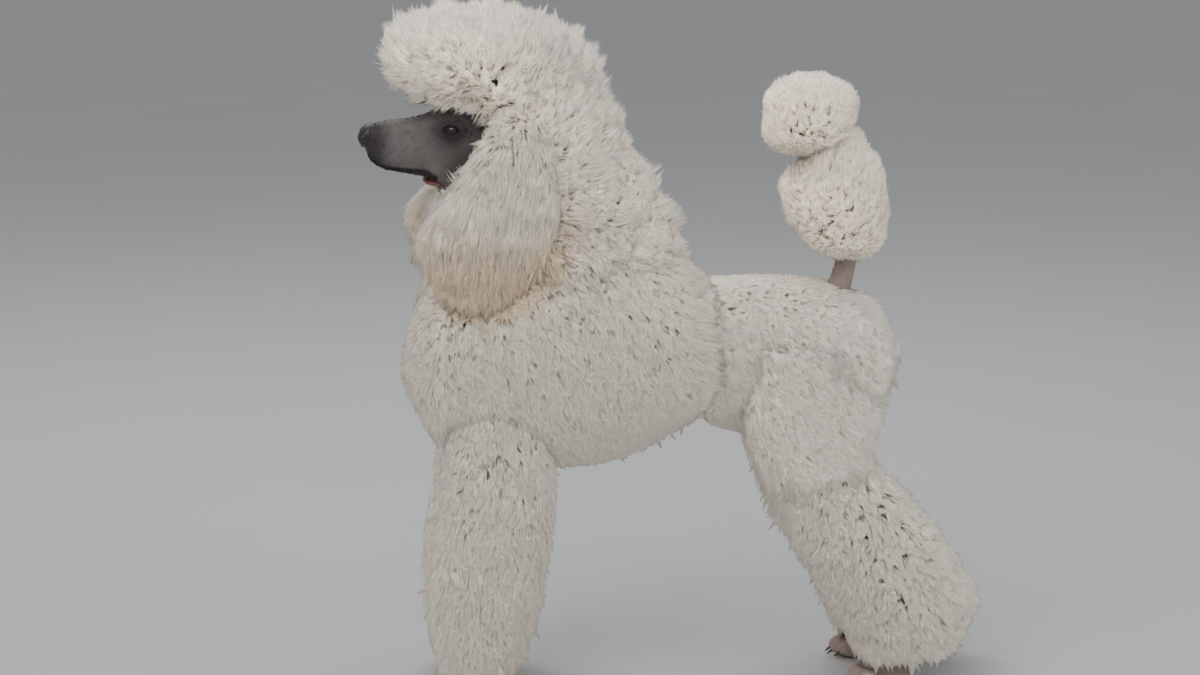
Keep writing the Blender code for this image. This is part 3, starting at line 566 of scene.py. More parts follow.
@dataclass(frozen=True)
class Eye:
    """Place and axes of one eye, with the left eye on side -1."""

    side: float
    radius: float = 0.0115
    slit: float = 0.0112
    lid_rise: float = 0.0062
    lid_drop: float = 0.0050

    @property
    def centre(self) -> np.ndarray:
        """Middle of the ball."""
        return np.array((-0.3085, self.side * 0.0345, 0.8095))

    @property
    def axes(self) -> np.ndarray:
        """Rows: along the slit, outwards, across the lids.

        Returns:
            Three square unit directions.
        """
        facing = unit(np.array((-0.45, self.side * 0.88, 0.12)))
        level = unit(np.cross(UP, facing))
        return np.stack((level, facing, np.cross(facing, level)))

    def local(self, points: np.ndarray) -> np.ndarray:
        """Points in the eye's own axes."""
        return (points - self.centre) @ self.axes.T

    def world(self, points: np.ndarray) -> np.ndarray:
        """Points of the eye's own axes in the shared frame."""
        return points @ self.axes + self.centre

    def opening(self, local: np.ndarray) -> np.ndarray:
        """Distance from the middle of the slit, 1 at the edges of the lids."""
        height = np.where(local[:, 2] > 0, self.lid_rise, self.lid_drop)
        return np.sqrt((local[:, 0] / self.slit) ** 2 + (local[:, 2] / height) ** 2)

    def front(self, local: np.ndarray) -> np.ndarray:
        """How far the ball stands out at each point."""
        across = local[:, 0] ** 2 + local[:, 2] ** 2
        return np.sqrt(self.radius**2 - np.minimum(across, 0.85 * self.radius**2))


EYES = tuple(Eye(side) for _, side in SIDES)

WHITE = np.array((0.91, 0.85, 0.765))
CREAM = np.array((0.83, 0.69, 0.53))
TAIL_WHITE = np.array((0.89, 0.82, 0.72))
SILVER = np.array((0.185, 0.160, 0.162))
CHEEK = np.array((0.092, 0.068, 0.070))
BLACK = np.array((0.012, 0.010, 0.010))
PINK = np.array((0.42, 0.32, 0.29))
RED = np.array((0.16, 0.050, 0.042))
IRIS_INNER = np.array((0.008, 0.004, 0.003))
IRIS_OUTER = np.array((0.028, 0.012, 0.006))
IRIS_EDGE = np.array((0.006, 0.004, 0.003))
EYE_WHITE = np.array((0.05, 0.032, 0.026))


def mouth_line(t: np.ndarray) -> tuple[np.ndarray, np.ndarray]:
    """The line between the lips.

    Args:
        t: Shares of the way from the nose to the corner.

    Returns:
        Angle and place on the face for each share.
    """
    angle = np.radians(14.0 + 30.0 * t**1.4)
    place = -0.428 + 0.092 * t
    return angle, place


def blend(low: np.ndarray, high: np.ndarray, share: np.ndarray) -> np.ndarray:
    """Colours mixed by a share for each point."""
    return low + (high - low) * share[:, None]


def marking(points: np.ndarray) -> np.ndarray:
    """The animal's markings, the same for skin and coat, with a dark patch round each eye that is partly
    darker skin and partly painted shade of the brow and eye hollow.

    Args:
        points: Places on or near the body.

    Returns:
        A colour for each point.
    """
    x, y, z = points.T
    colour = np.broadcast_to(WHITE, points.shape).copy()
    tail = smooth_step(0.600, 0.640, z) * smooth_step(0.08, 0.12, x)
    colour = blend(colour, TAIL_WHITE, tail)
    stub = smooth_step(0.560, 0.568, z) * smooth_step(0.625, 0.612, z)
    colour = blend(colour, PINK, stub * smooth_step(-0.0035, -0.0015, TAIL_ROOT.depth_of(points)))
    lobe = np.maximum(EAR.depth_of(points), EAR.other_side().depth_of(points))
    colour = blend(colour, CREAM, smooth_step(-0.014, -0.004, lobe) * smooth_step(0.735, 0.625, z))
    feet = smooth_step(0.050, 0.034, z)
    colour = blend(colour, PINK, feet * smooth_step(0.034, 0.030, np.abs(np.abs(y) - 0.082)))
    face = smooth_step(-0.252, -0.268, x) * smooth_step(0.884, 0.868, z) * smooth_step(0.70, 0.708, z)
    face = face * (FACE.depth_of(points) > -0.006)
    colour = blend(colour, SILVER, face)
    # Dark patch round each eye: partly darker skin, partly painted shade of the brow and the eye hollow.
    eye_skin_and_shade = face * np.clip(blob(points, (-0.31, 0.0, 0.806), (0.030, 9.0, 0.022)) * 1.2, 0.0, 1.0)
    eye_skin_and_shade = eye_skin_and_shade * smooth_step(0.020, 0.034, np.abs(y))
    colour = blend(colour, CHEEK * 0.32, eye_skin_and_shade)
    cheek = face * smooth_step(-0.345, -0.290, x) * smooth_step(0.800, 0.770, z)
    colour = blend(colour, CHEEK, cheek * 0.8)
    muzzle = face * smooth_step(-0.385, -0.420, x)
    colour = blend(colour, BLACK * 2.0, muzzle * 0.9)
    return colour


def from_mouth(points: np.ndarray) -> np.ndarray:
    """Distance of points from the line between the lips, seen from the side.

    Args:
        points: Any points.

    Returns:
        A distance for each point.
    """
    line = FACE.surface(*mouth_line(np.linspace(0.0, 1.0, 60)))
    distance = np.full(len(points), 1.0)
    for spot in line:
        distance = np.minimum(distance, np.hypot(points[:, 0] - spot[0], points[:, 2] - spot[2]))
    return distance


def linked(name: str, data: Any) -> bpy.types.Object:
    """A new object of the scene.

    Args:
        name: The object's name.
        data: Its mesh, light or camera.

    Returns:
        The object.
    """
    made = bpy.data.objects.new(name, data)
    bpy.context.scene.collection.objects.link(made)
    return made


@dataclass
class Shell:
    """Closed shapes gathered into one mesh."""

    points: list[np.ndarray] = field(default_factory=list)
    faces: list[tuple[int, ...]] = field(default_factory=list)
    count: int = 0

    def add_points(self, points: np.ndarray) -> int:
        """Adds points.

        Args:
            points: The new points.

        Returns:
            Number of the first one.
        """
        base = self.count
        self.points.append(points)
        self.count += len(points)
        return base

    def tube(self, rings: np.ndarray) -> None:
        """Adds a closed tube through rings of points, with a fan at each end.

        Args:
            rings: Points of shape (rings, around, 3).
        """
        number, around = rings.shape[:2]
        base = self.add_points(rings.reshape(-1, 3))
        low = self.add_points(rings[0].mean(axis=0)[None])
        high = self.add_points(rings[-1].mean(axis=0)[None])
        for k in range(around):
            after = (k + 1) % around
            self.faces.append((low, base + after, base + k))
            top = base + (number - 1) * around
            self.faces.append((high, top + k, top + after))
            for i in range(number - 1):
                row = base + i * around
                self.faces.append((row + k, row + after, row + around + after, row + around + k))

    def bent_tube(
        self, path: np.ndarray, side: np.ndarray, wide: np.ndarray, thick: np.ndarray, around: int
    ) -> None:
        """Adds a tube along a path.

        Args:
            path: Points of its middle line.
            side: Direction of its width at each point.
            wide: Half width at each point.
            thick: Half thickness at each point.
            around: Points in a ring.
        """
        along = unit(np.gradient(path, axis=0))
        side = unit(side - along * np.sum(side * along, axis=1, keepdims=True))
        rise = np.cross(along, side)
        angle = np.linspace(0.0, FULL_TURN, around, endpoint=False)
        ring = side[:, None] * np.cos(angle)[None, :, None] * wide[:, None, None]
        ring = ring + rise[:, None] * np.sin(angle)[None, :, None] * thick[:, None, None]
        self.tube(path[:, None] + ring)

    def build(self, name: str) -> bpy.types.Object:
        """Makes the object, its doubles merged and its faces turned outwards.

        Args:
            name: The object's name.

        Returns:
            The object.
        """
        mesh = bpy.data.meshes.new(name)
        mesh.from_pydata(np.concatenate(self.points).tolist(), [], self.faces)
        data = bmesh.new()
        data.from_mesh(mesh)
        bmesh.ops.remove_doubles(data, verts=data.verts, dist=1e-6)
        bmesh.ops.dissolve_degenerate(data, edges=data.edges, dist=1e-7)
        bmesh.ops.recalc_face_normals(data, faces=data.faces)
        data.to_mesh(mesh)
        data.free()
        mesh.shade_smooth()
        return linked(name, mesh)


def points_of(mesh: bpy.types.Mesh) -> np.ndarray:
    """A mesh's points as an array.

    Args:
        mesh: Any mesh.

    Returns:
        Points of shape (points, 3).
    """
    flat = np.empty(3 * len(mesh.vertices), dtype=np.float32)
    mesh.vertices.foreach_get("co", flat)
    return flat.reshape(-1, 3).astype(float)


def set_points(mesh: bpy.types.Mesh, points: np.ndarray) -> None:
    """Moves a mesh's points."""
    mesh.vertices.foreach_set("co", points.astype(np.float32).ravel())
    mesh.update()


def set_tint(mesh: bpy.types.Mesh, colours: np.ndarray) -> None:
    """Stores a colour at each point for the materials to read.

    Args:
        mesh: Mesh that is coloured.
        colours: Red, green and blue for each point.
    """
    layer = mesh.attributes.new(TINT, "FLOAT_COLOR", "POINT")
    full = np.concatenate((colours, np.ones((len(colours), 1))), axis=1)
    layer.data.foreach_set("color", full.astype(np.float32).ravel())


def set_vectors(mesh: bpy.types.Mesh, name: str, vectors: np.ndarray) -> None:
    """Stores a vector at each point under a name."""
    layer = mesh.attributes.new(name, "FLOAT_VECTOR", "POINT")
    layer.data.foreach_set("vector", vectors.astype(np.float32).ravel())


def evaluated(source: bpy.types.Object, name: str) -> bpy.types.Object:
    """A plain copy of an object with its modifiers applied, in the object's place.

    Args:
        source: Object with modifiers, which is deleted.
        name: The copy's name.

    Returns:
        The copy.
    """
    mesh = bpy.data.meshes.new_from_object(source.evaluated_get(bpy.context.evaluated_depsgraph_get()))
    mesh.name = name
    old = source.data
    bpy.data.objects.remove(source)
    if isinstance(old, bpy.types.Mesh) and old.users == 0:
        bpy.data.meshes.remove(old)
    return linked(name, mesh)


def remeshed(source: bpy.types.Object, voxel: float, rounds: int) -> bpy.types.Object:
    """Shapes that cross joined into one smooth closed surface.

    Args:
        source: Object to join.
        voxel: Size of the new faces.
        rounds: How often the surface is smoothed.

    Returns:
        The new object.
    """
    remesh = source.modifiers.new("one surface", "REMESH")
    remesh.mode = "VOXEL"
    remesh.voxel_size = voxel
    smooth = source.modifiers.new("smooth", "SMOOTH")
    smooth.factor = 0.5
    smooth.iterations = rounds
    made = evaluated(source, source.name + "_joined")
    made.data.shade_smooth()
    return made


def joined(name: str, parts: list[bpy.types.Object]) -> bpy.types.Object:
    """Several mesh objects as one.

    Args:
        name: The new object's name.
        parts: Objects that go into it and are deleted.

    Returns:
        The new object.
    """
    data = bmesh.new()
    for part in parts:
        data.from_mesh(part.data)
        old = part.data
        bpy.data.objects.remove(part)
        bpy.data.meshes.remove(old)
    mesh = bpy.data.meshes.new(name)
    data.to_mesh(mesh)
    data.free()
    mesh.shade_smooth()
    return linked(name, mesh)


def place_piece(
    piece: bpy.types.Object, material: bpy.types.Material, nodes: list[str]
) -> None:
    """Dresses a finished piece, hangs it on the body and hides the solids that it replaces.

    Args:
        piece: The piece.
        material: Its material.
        nodes: Solids that it replaces.
    """
    piece.data.materials.clear()
    piece.data.materials.append(material)
    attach(piece, BODY)
    if nodes:
        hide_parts(*nodes)
    faces = sum(len(face.vertices) - 2 for face in piece.data.polygons)
    LOG.info("%s: %d triangles", piece.name, faces)


FACE_BONES = (
    (0.0030, (-0.298, 0.030, 0.834), (0.018, 0.014, 0.009)),
    (0.0034, (-0.283, 0.052, 0.786), (0.026, 0.020, 0.012)),
    (-0.0022, (-0.330, 0.036, 0.806), (0.014, 0.016, 0.012)),
    (-0.0020, (-0.372, 0.027, 0.800), (0.024, 0.012, 0.010)),
    (0.0022, (-0.395, 0.024, 0.768), (0.028, 0.014, 0.011)),
    (-0.0020, (-0.335, 0.036, 0.764), (0.020, 0.016, 0.010)),
    (-0.0030, (-0.292, 0.046, 0.744), (0.024, 0.020, 0.010)),
)
TOES = ((-0.0225, 0.009), (-0.0085, 0.0), (0.0085, 0.0), (0.0225, 0.009))
TOE_LENGTH = 0.017
TOE_LINE = np.array(
    ((-1.02, -0.42), (-0.95, -0.25), (-0.72, -0.05), (-0.35, 0.10), (0.0, 0.05), (0.8, 0.0))
)


@dataclass
class Skin:
    """One closed skin at the level where the coat begins, with the shaved face and feet in full."""

    voxel: float = 0.0075
    foot_voxel: float = 0.0021
    smoothing: int = 3
    core_step: float = 0.012
    face_rings: int = 176
    face_around: int = 166
    lowest: float = 0.0010
    foot_lowest: float = 0.0004

    def body(self) -> bpy.types.Object:
        """Trunk, limbs, ears and tail as one surface.

        Returns:
            The joined surface.
        """
        shell = Shell()
        cores = [
            CHEST.drawn_in(JACKET_DEPTH),
            NECK.drawn_in(MANE_DEPTH),
            TOPKNOT.drawn_in(TOPKNOT_DEPTH),
            FACE.drawn_in(0.004),
            RUMP.drawn_in(CLIPPED_CORE),
            PLUME.drawn_in(PLUME_DEPTH),
            TAIL_TIP.drawn_in(TIP_DEPTH),
            TAIL_ROOT.drawn_in(0.0),
        ]
        for _, side in SIDES:
            hind = HINDLEG.on_side(side)
            cores.append(EAR.on_side(side).drawn_in(EAR_DEPTH))
            cores.append(FORELEG.on_side(side).drawn_in(FORELEG_DEPTH))
            cores.append(hind.between(0.0, 0.400).drawn_in(BRACELET_DEPTH))
            cores.append(hind.between(0.335, 0.500).drawn_in(CLIPPED_CORE))
            cores += [foot.on_side(side).drawn_in(0.002) for foot in (FOREFOOT, HINDFOOT)]
        for core in cores:
            shell.tube(core.rings(self.core_step, 40))
        made = remeshed(shell.build("body"), self.voxel, self.smoothing)
        return self.lifted(made, self.lowest)

    def lifted(self, part: bpy.types.Object, lowest: float) -> bpy.types.Object:
        """Moves points that are too low up to a height, and returns the part.

        Args:
            part: Part that is changed.
            lowest: Height that no point lies under.

        Returns:
            The same part.
        """
        points = points_of(part.data)
        points[:, 2] = np.maximum(points[:, 2], lowest)
        set_points(part.data, points)
        return part

    def face(self) -> bpy.types.Object:
        """The shaved head in full, with brows, cheeks, eye openings and the line of the mouth.

        Returns:
            The face.
        """
        eye_angle, lip_angle = math.radians(105.0), 0.5
        eye_and_nose = ((-0.309, 0.020, 1.6), (-0.428, 0.012, 1.0))
        places = crowded(FACE.first, -0.190, self.face_rings, eye_and_nose)
        start = FACE.first + FACE.start * (1.0 - np.cos(np.linspace(0.0, math.pi / 2, 14)))
        places = np.concatenate((start, places[places > start[-1] + 0.0003]))
        spots = ((eye_angle, 0.26, 1.8), (FULL_TURN - eye_angle, 0.26, 1.8))
        lips = ((lip_angle, 0.35, 0.5), (FULL_TURN - lip_angle, 0.35, 0.5))
        angles = crowded(0.0, FULL_TURN, self.face_around + 1, spots + lips)[:-1]
        points = FACE.grid(places, angles)
        shape = points.shape
        place, angle = np.meshgrid(places, angles, indexing="ij")
        outward = FACE.normal(angle.ravel(), np.maximum(place.ravel(), FACE.first + 0.002))
        points = self.modelled(points.reshape(-1, 3), outward).reshape(shape)
        shell = Shell()
        shell.tube(points)
        return shell.build("face")

    def modelled(self, points: np.ndarray, outward: np.ndarray) -> np.ndarray:
        """The face's points moved into its bones, folds, lips and eye openings.

        Args:
            points: Points of the smooth face.
            outward: Its outward directions.

        Returns:
            The moved points.
        """
        rise = np.zeros(len(points))
        for _, side in SIDES:
            for height, (x, y, z), radii in FACE_BONES:
                rise += height * blob(points, (x, side * y, z), radii)
        rise -= 0.0016 * blob(points, (-0.318, 0.0, 0.848), (0.030, 0.008, 0.020))
        rise -= 0.0024 * np.exp(-((from_mouth(points) / 0.0022) ** 2)) * (points[:, 2] < 0.79)
        moved = points + outward * rise[:, None]
        for eye in EYES:
            moved = self.socket(eye, moved)
        return moved

    def socket(self, eye: Eye, points: np.ndarray) -> np.ndarray:
        """The face's points moved to the lids and the hollow of one eye.

        Args:
            eye: The eye.
            points: Points of the face.

        Returns:
            The moved points.
        """
        local = eye.local(points)
        open_share = eye.opening(local)
        near = (local[:, 1] > -0.004) & (open_share < 3.2)
        front = eye.front(local)
        inside = near & (open_share < 1.0)
        ring = near & (open_share >= 1.0)
        lid = smooth_step(2.3, 1.25, open_share)
        proud = np.maximum(local[:, 1], front + 0.0016)
        crease = 0.0016 * np.exp(-(((open_share - 2.15) / 0.28) ** 2)) * (local[:, 2] > -0.002)
        local[ring, 1] = (local[:, 1] * (1 - lid) + proud * lid - crease)[ring]
        local[inside, 1] = (front - 0.0030)[inside]
        return eye.world(local)

    def lids(self, shell: Shell) -> None:
        """Adds the rims of the eyelids and the small fold over each.

        Args:
            shell: Shell that takes them.
        """
        turn = np.linspace(0.0, math.pi, 30)
        for eye in EYES:
            for height, bulk, lift, reach in (
                (eye.lid_rise, 0.0019, 0.0010, 1.0),
                (-eye.lid_drop, 0.0016, 0.0010, 1.0),
                (eye.lid_rise * 1.75, 0.0016, 0.0006, 1.25),
            ):
                x = eye.slit * reach * np.cos(turn)
                z = height * np.sin(turn) ** 0.8
                local = np.stack((x, np.zeros_like(x), z), axis=1)
                local[:, 1] = eye.front(local) + lift
                path = eye.world(local)
                size = bulk * (0.35 + 0.65 * np.sin(turn))
                side = np.broadcast_to(eye.axes[1], path.shape)
                shell.bent_tube(path, side, size * 0.8, size, 10)

    def lips(self, shell: Shell) -> None:
        """Adds the black rims of the lips down each side of the mouth.

        Args:
            shell: Shell that takes them.
        """
        t = np.linspace(0.0, 1.0, 70)
        for side in (1.0, -1.0):
            for shift, bulk in ((5.0, 0.0030), (-6.5, 0.0024)):
                angle, place = mouth_line(t)
                angle = angle + math.radians(shift) * (1.0 - 0.45 * t)
                path = FACE.surface(side * angle, place)
                normal = FACE.normal(side * angle, place)
                size = bulk * (0.35 + 0.65 * np.sin(math.pi * np.clip(t * 0.9 + 0.06, 0, 1)) ** 0.6)
                shell.bent_tube(path - normal * 0.0008, normal, size * 0.75, size, 12)

    def foot(self, form: Form, side: float) -> bpy.types.Object:
        """One shaved foot with its four toes.

        Args:
            form: The left foot's form.
            side: -1 for left, 1 for right.

        Returns:
            The foot.
        """
        shell = Shell()
        form = form.on_side(side)
        shell.tube(form.rings(0.003, 40))
        low, _, _, offset = form.values(np.array((0.012,)))[0]
        for across, back in TOES:
            middle = np.array((low + 0.004 + back, offset + across, 0.0145))
            share = np.array((0.22, 0.60, 0.90, 1.0, 0.92, 0.5))
            x, z = TOE_LINE.T
            path = middle + np.stack((TOE_LENGTH * x, np.zeros(len(x)), 0.0155 * z), axis=1)
            level = np.broadcast_to(ACROSS, path.shape)
            shell.bent_tube(path, level, 0.0092 * share, 0.0135 * share, 20)
        made = remeshed(shell.build("foot"), self.foot_voxel, self.smoothing)
        return self.lifted(made, self.foot_lowest)

    def stub(self) -> bpy.types.Object:
        """The shaved root of the tail, finer than the body's own faces.

        Returns:
            The root.
        """
        shell = Shell()
        shell.tube(TAIL_ROOT.drawn_in(-0.0012).rings(0.002, 56))
        return shell.build("stub")

    def build(self, material: bpy.types.Material) -> bpy.types.Object:
        """Joins the parts of the skin and dresses it.

        Args:
            material: Finish of the skin.

        Returns:
            The skin.
        """
        trim = Shell()
        self.lids(trim)
        self.lips(trim)
        parts = [self.body(), self.face(), trim.build("rims"), self.stub()]
        for _, side in SIDES:
            parts.append(self.foot(FOREFOOT, side))
            parts.append(self.foot(HINDFOOT, side))
        body_count, face_count, rim_count = (len(part.data.vertices) for part in parts[:3])
        rims = body_count + face_count
        skin = joined("skin", parts)
        points = points_of(skin.data)
        colours = marking(points)
        colours[rims : rims + rim_count] = BLACK * 1.6
        set_tint(skin.data, self.mouth_tint(points, colours))
        nodes = ["head", "topknot", "neck", "torso_front", "torso_rear"]
        nodes += ["tail_root", "tail_plume", "tail_tip"]
        for name, _ in SIDES:
            for part in ("ear", "foreleg", "thigh", "lower_hindleg", "forefoot", "hindfoot"):
                nodes.append(f"{part}_{name}")
        place_piece(skin, material, nodes)
        return skin

    def mouth_tint(self, points: np.ndarray, colours: np.ndarray) -> np.ndarray:
        """The lips' black edge and the red fold at the corner of the mouth, laid over the markings.

        Args:
            points: Points of the skin.
            colours: Their markings.

        Returns:
            The new colours.
        """
        on_face = (FACE.depth_of(points) > -0.006) & (points[:, 0] < -0.30)
        colours = blend(colours, BLACK * 1.5, smooth_step(0.0085, 0.0035, from_mouth(points)) * on_face)
        corner = FACE.surface(*[value[-1:] for value in mouth_line(np.array((0.96,)))])[0]
        spot = np.array((corner[0] + 0.004, 0.0, corner[2] - 0.010))
        along, up = points[:, 0] - spot[0], points[:, 2] - spot[2]
        red = np.exp(-((along / 0.007) ** 2) - (up / 0.006) ** 2)
        return blend(colours, RED, np.clip(red * 1.3, 0, 1) * on_face * (points[:, 2] < 0.80))


@dataclass(frozen=True)
class Tuft:
    """How the tufts of one part of the coat grow, in metres.

    Under tufts are a short dense undercoat. Stray is how far clumps stand out at their middles, and trim is
    the share of its length that a tuft keeps where it would leave the form.
    """

    number: int
    under: int
    width: float
    sweep: float
    margin: float = 0.002
    ragged: float = 0.003
    clumps: int = 200
    gather: float = 0.3
    stray: float = 0.002
    curl: float = 0.002
    rings: int = 2
    trim: float = 1.0


@dataclass(frozen=True)
class Layer:
    """How one layer of the coat takes a tuft's values, mostly as shares of them."""

    disorder: float
    reach: float
    stray: float
    bend: float
    curl: float
    width: float
    flatness: float


UNDER = Layer(disorder=1.0, reach=0.9, stray=0.45, bend=0.52, curl=0.2, width=6.0, flatness=0.22)
UPPER = Layer(disorder=0.2, reach=1.0, stray=1.0, bend=0.66, curl=1.0, width=1.0, flatness=0.55)
CORNERS = np.radians((30.0, 150.0, 270.0))


@dataclass(frozen=True)
class Strands:
    """Grown tufts as arrays with a row for each: middle lines, directions, sizes and places on the form."""

    path: np.ndarray
    level: np.ndarray
    normal: np.ndarray
    width: np.ndarray
    thick: np.ndarray
    angle: np.ndarray
    place: np.ndarray
    shade: np.ndarray

    def __len__(self) -> int:
        """How many tufts there are."""
        return len(self.path)

    @property
    def rings(self) -> int:
        """Rings of each tuft under its point."""
        return self.path.shape[1] - 1

    def points(self, lowest: float) -> np.ndarray:
        """Points of the closed three-sided tufts, ring by ring and then the tip.

        Args:
            lowest: Height that no point lies under.

        Returns:
            All points, tuft by tuft.
        """
        count, rings = len(self), self.rings
        along = unit(np.gradient(self.path, axis=1))
        level = self.level[:, None]
        side = unit(level - along * np.sum(level * along, axis=2, keepdims=True))
        rise = np.cross(along, side)
        profile = np.interp(np.arange(rings) / (rings - 1), (0.0, 0.5, 1.0), (0.8, 1.0, 0.85))
        body = np.empty((count, rings, 3, 3))
        for k, turn in enumerate(CORNERS):
            out = side[:, :rings] * (math.cos(turn) * self.width[:, None, None])
            out = out + rise[:, :rings] * (math.sin(turn) * self.thick[:, None, None])
            body[:, :, k] = self.path[:, :rings] + out * profile[None, :, None]
        points = np.concatenate((body.reshape(count, -1, 3), self.path[:, -1:]), axis=1).reshape(-1, 3)
        points[:, 2] = np.maximum(points[:, 2], lowest)
        return points

    def faces(self) -> np.ndarray:
        """Triangles of all tufts, each closed at its root.

        Returns:
            Three numbers of points for each triangle.
        """
        last = 3 * (self.rings - 1)
        per = last + 4
        pattern = [(0, 2, 1)]
        for ring in range(0, last, 3):
            for k in range(3):
                a, b = ring + k, ring + (k + 1) % 3
                pattern += [(a, b, b + 3), (a, b + 3, a + 3)]
        pattern += [(last + k, last + (k + 1) % 3, per - 1) for k in range(3)]
        return (np.arange(len(self))[:, None, None] * per + np.array(pattern)[None]).reshape(-1, 3)


@dataclass
class Coat:
    """Tufts of solid mesh over one form of the body."""

    name: str
    form: Form
    depth: float
    tuft: Tuft
    comb: Comb
    keep: Keep
    others: tuple[Form, ...]
    seed: int
    slot: Slot = Slot.COAT
    lowest: float = 0.0005
    buried: float = 0.020
    jitter: float = 0.30

    def weights(self, line: np.ndarray, turn: np.ndarray) -> np.ndarray:
        """Area that grows hair in each cell of a grid over the form.

        Args:
            line: Places of the grid.
            turn: Angles of the grid.

        Returns:
            Areas of shape (places - 1, angles - 1), zero where the form is bare or lies deep in others.
        """
        points = self.form.grid(line, turn)
        across = points[1:, 1:] - points[:-1, :-1]
        slant = points[1:, :-1] - points[:-1, 1:]
        area = np.linalg.norm(np.cross(across, slant), axis=2) / 2
        middle = ((points[1:, 1:] + points[:-1, :-1]) / 2).reshape(-1, 3)
        wanted = self.keep(middle).reshape(area.shape)
        depth = np.zeros(area.size)
        for other in self.others:
            depth = np.maximum(depth, other.depth_of(middle))
        return area * wanted * (depth.reshape(area.shape) < self.buried)

    def scatter(self, draw: np.random.Generator) -> tuple[np.ndarray, np.ndarray]:
        """Spreads roots evenly over the form.

        Args:
            draw: Source of chance.

        Returns:
            Angle and place of each root.
        """
        low, high = self.form.first, self.form.last
        turn = np.linspace(0.0, FULL_TURN, 161)
        line = np.linspace(low, high, 241)
        if self.form.start or self.form.end:
            line = np.unique(np.concatenate((line, self.form.places(0.004))))
            line = line[(line >= low) & (line <= high)]
        weight = self.weights(line, turn)
        total = np.concatenate(((0.0,), np.cumsum(weight.ravel())))
        rows = total[:: weight.shape[1]]
        count = self.tuft.number + self.tuft.under
        step = np.arange(1, count + 1)
        jitter = draw.normal(0.0, self.jitter / math.sqrt(count), (2, count))
        down = (step * EVEN_STEPS[0] + jitter[0]) % 1.0
        round_it = (step * EVEN_STEPS[1] + jitter[1]) % 1.0
        spot = np.interp(down * total[-1], rows, np.arange(len(rows)))
        row = np.minimum(spot.astype(int), weight.shape[0] - 1)
        target = rows[row] + round_it * (rows[row + 1] - rows[row])
        column = np.interp(target, total, np.arange(len(total))) - row * weight.shape[1]
        place = line[row] + (spot - row) * (line[row + 1] - line[row])
        angle = column.clip(0.0, weight.shape[1]) * (turn[1] - turn[0])
        return angle, place

    def grow(self) -> Strands:
        """Grows the tufts from their roots, combs them and gathers them in clumps.

        Returns:
            The tufts.
        """
        draw = np.random.default_rng(self.seed)
        look = self.tuft
        angle, place = self.scatter(draw)
        surface = self.form.surface(angle, place)
        normal = self.form.normal(angle, place)
        count = len(surface)
        under = np.arange(count) < look.under

        disorder = np.where(under, UNDER.disorder, UPPER.disorder)
        comb = self.comb(surface, normal) + draw.normal(0.0, 0.40, (count, 3)) * disorder[:, None]
        along = comb - normal * np.sum(comb * normal, axis=1, keepdims=True)
        reach = look.sweep * (0.6 + 0.7 * draw.random(count)) * np.where(under, UNDER.reach, UPPER.reach)
        sink = look.margin + look.ragged * draw.normal(0.0, 0.6, count).clip(-1.8, 1.6)
        sink = np.where(under, look.margin + 0.0006 + 0.5 * look.ragged, sink)

        leader = draw.choice(count, min(look.clumps, count), replace=False)
        group = leader[nearest(surface, surface[leader])]
        apart = np.linalg.norm(surface - surface[group], axis=1)
        spread = np.sqrt(np.mean(apart**2))
        peak = look.stray * (0.3 + draw.random(count)[group])
        rise = peak * (np.exp(-((apart / (0.9 * spread)) ** 2)) - 0.15)
        leaves = self.form.depth_of(surface + along * reach[:, None]) < -0.004
        reach = np.where(leaves, reach * look.trim, reach)
        lift = rise * np.where(under, UNDER.stray, UPPER.stray) - sink
        tip = surface + along * reach[:, None] + normal * lift[:, None]
        root = surface - normal * (self.depth + 0.002)
        pull = np.where(under, 0.0, look.gather * (0.5 + draw.random(count)))
        bunch = tip[group] + (surface - surface[group]) * 0.3
        tip += (bunch - tip) * np.clip(pull, 0.0, 0.85)[:, None]
        bend = root + normal * (self.depth * 0.92) + along * (reach * 0.25)[:, None]

        phase = FULL_TURN * (draw.random(count)[group] + 0.3 * draw.random(count))
        level = unit(np.cross(normal, comb + 1e-4))
        low = np.linspace(0.0, UNDER.bend, look.rings)
        high = np.linspace(0.0, UPPER.bend, look.rings)
        shares = np.where(under[:, None], low, high)
        shares = np.concatenate((shares, np.ones((count, 1))), axis=1)[:, :, None]
        path = root[:, None] * (1 - shares) ** 2
        path = path + bend[:, None] * (2 * shares * (1 - shares))
        path = path + tip[:, None] * shares**2
        wave = phase[:, None, None] + FULL_TURN * shares
        size = np.sin(math.pi * np.minimum(shares * 1.15, 1.0)) ** 0.7
        size = size * (look.curl * np.where(under, UNDER.curl, UPPER.curl))[:, None, None]
        path = path + level[:, None] * (size * np.sin(wave)) + normal[:, None] * (size * 0.4 * np.cos(wave))

        width = look.width * (0.7 + 0.6 * draw.random(count)) * np.where(under, UNDER.width, UPPER.width)
        thick = width * np.where(under, UNDER.flatness, UPPER.flatness)
        shade = draw.normal(1.0, 0.030, count).clip(0.92, 1.07)
        return Strands(path, level, normal, width, thick, angle, place, shade)

    def patches(self, grown: Strands, share: np.ndarray) -> np.ndarray:
        """Each tuft's small patch of the bake map, at its root's turn and place on the form.

        Args:
            grown: The tufts.
            share: Share of the way to the tip for each point of a tuft.

        Returns:
            A place on the map for each point.
        """
        inner = 1.0 - BAKE_PATCH
        u = 0.5 + ((grown.angle / FULL_TURN) % 1.0 - 0.5) * inner
        v = 0.5 + ((grown.place - self.form.first) / (self.form.last - self.form.first) - 0.5) * inner
        corner = np.concatenate((np.tile((-0.5, 0.0, 0.5), grown.rings), (0.0,)))
        u = u[:, None] + BAKE_PATCH * corner
        v = v[:, None] + BAKE_PATCH * (share - 0.5)
        return np.stack((u, v), axis=2).reshape(-1, 2)

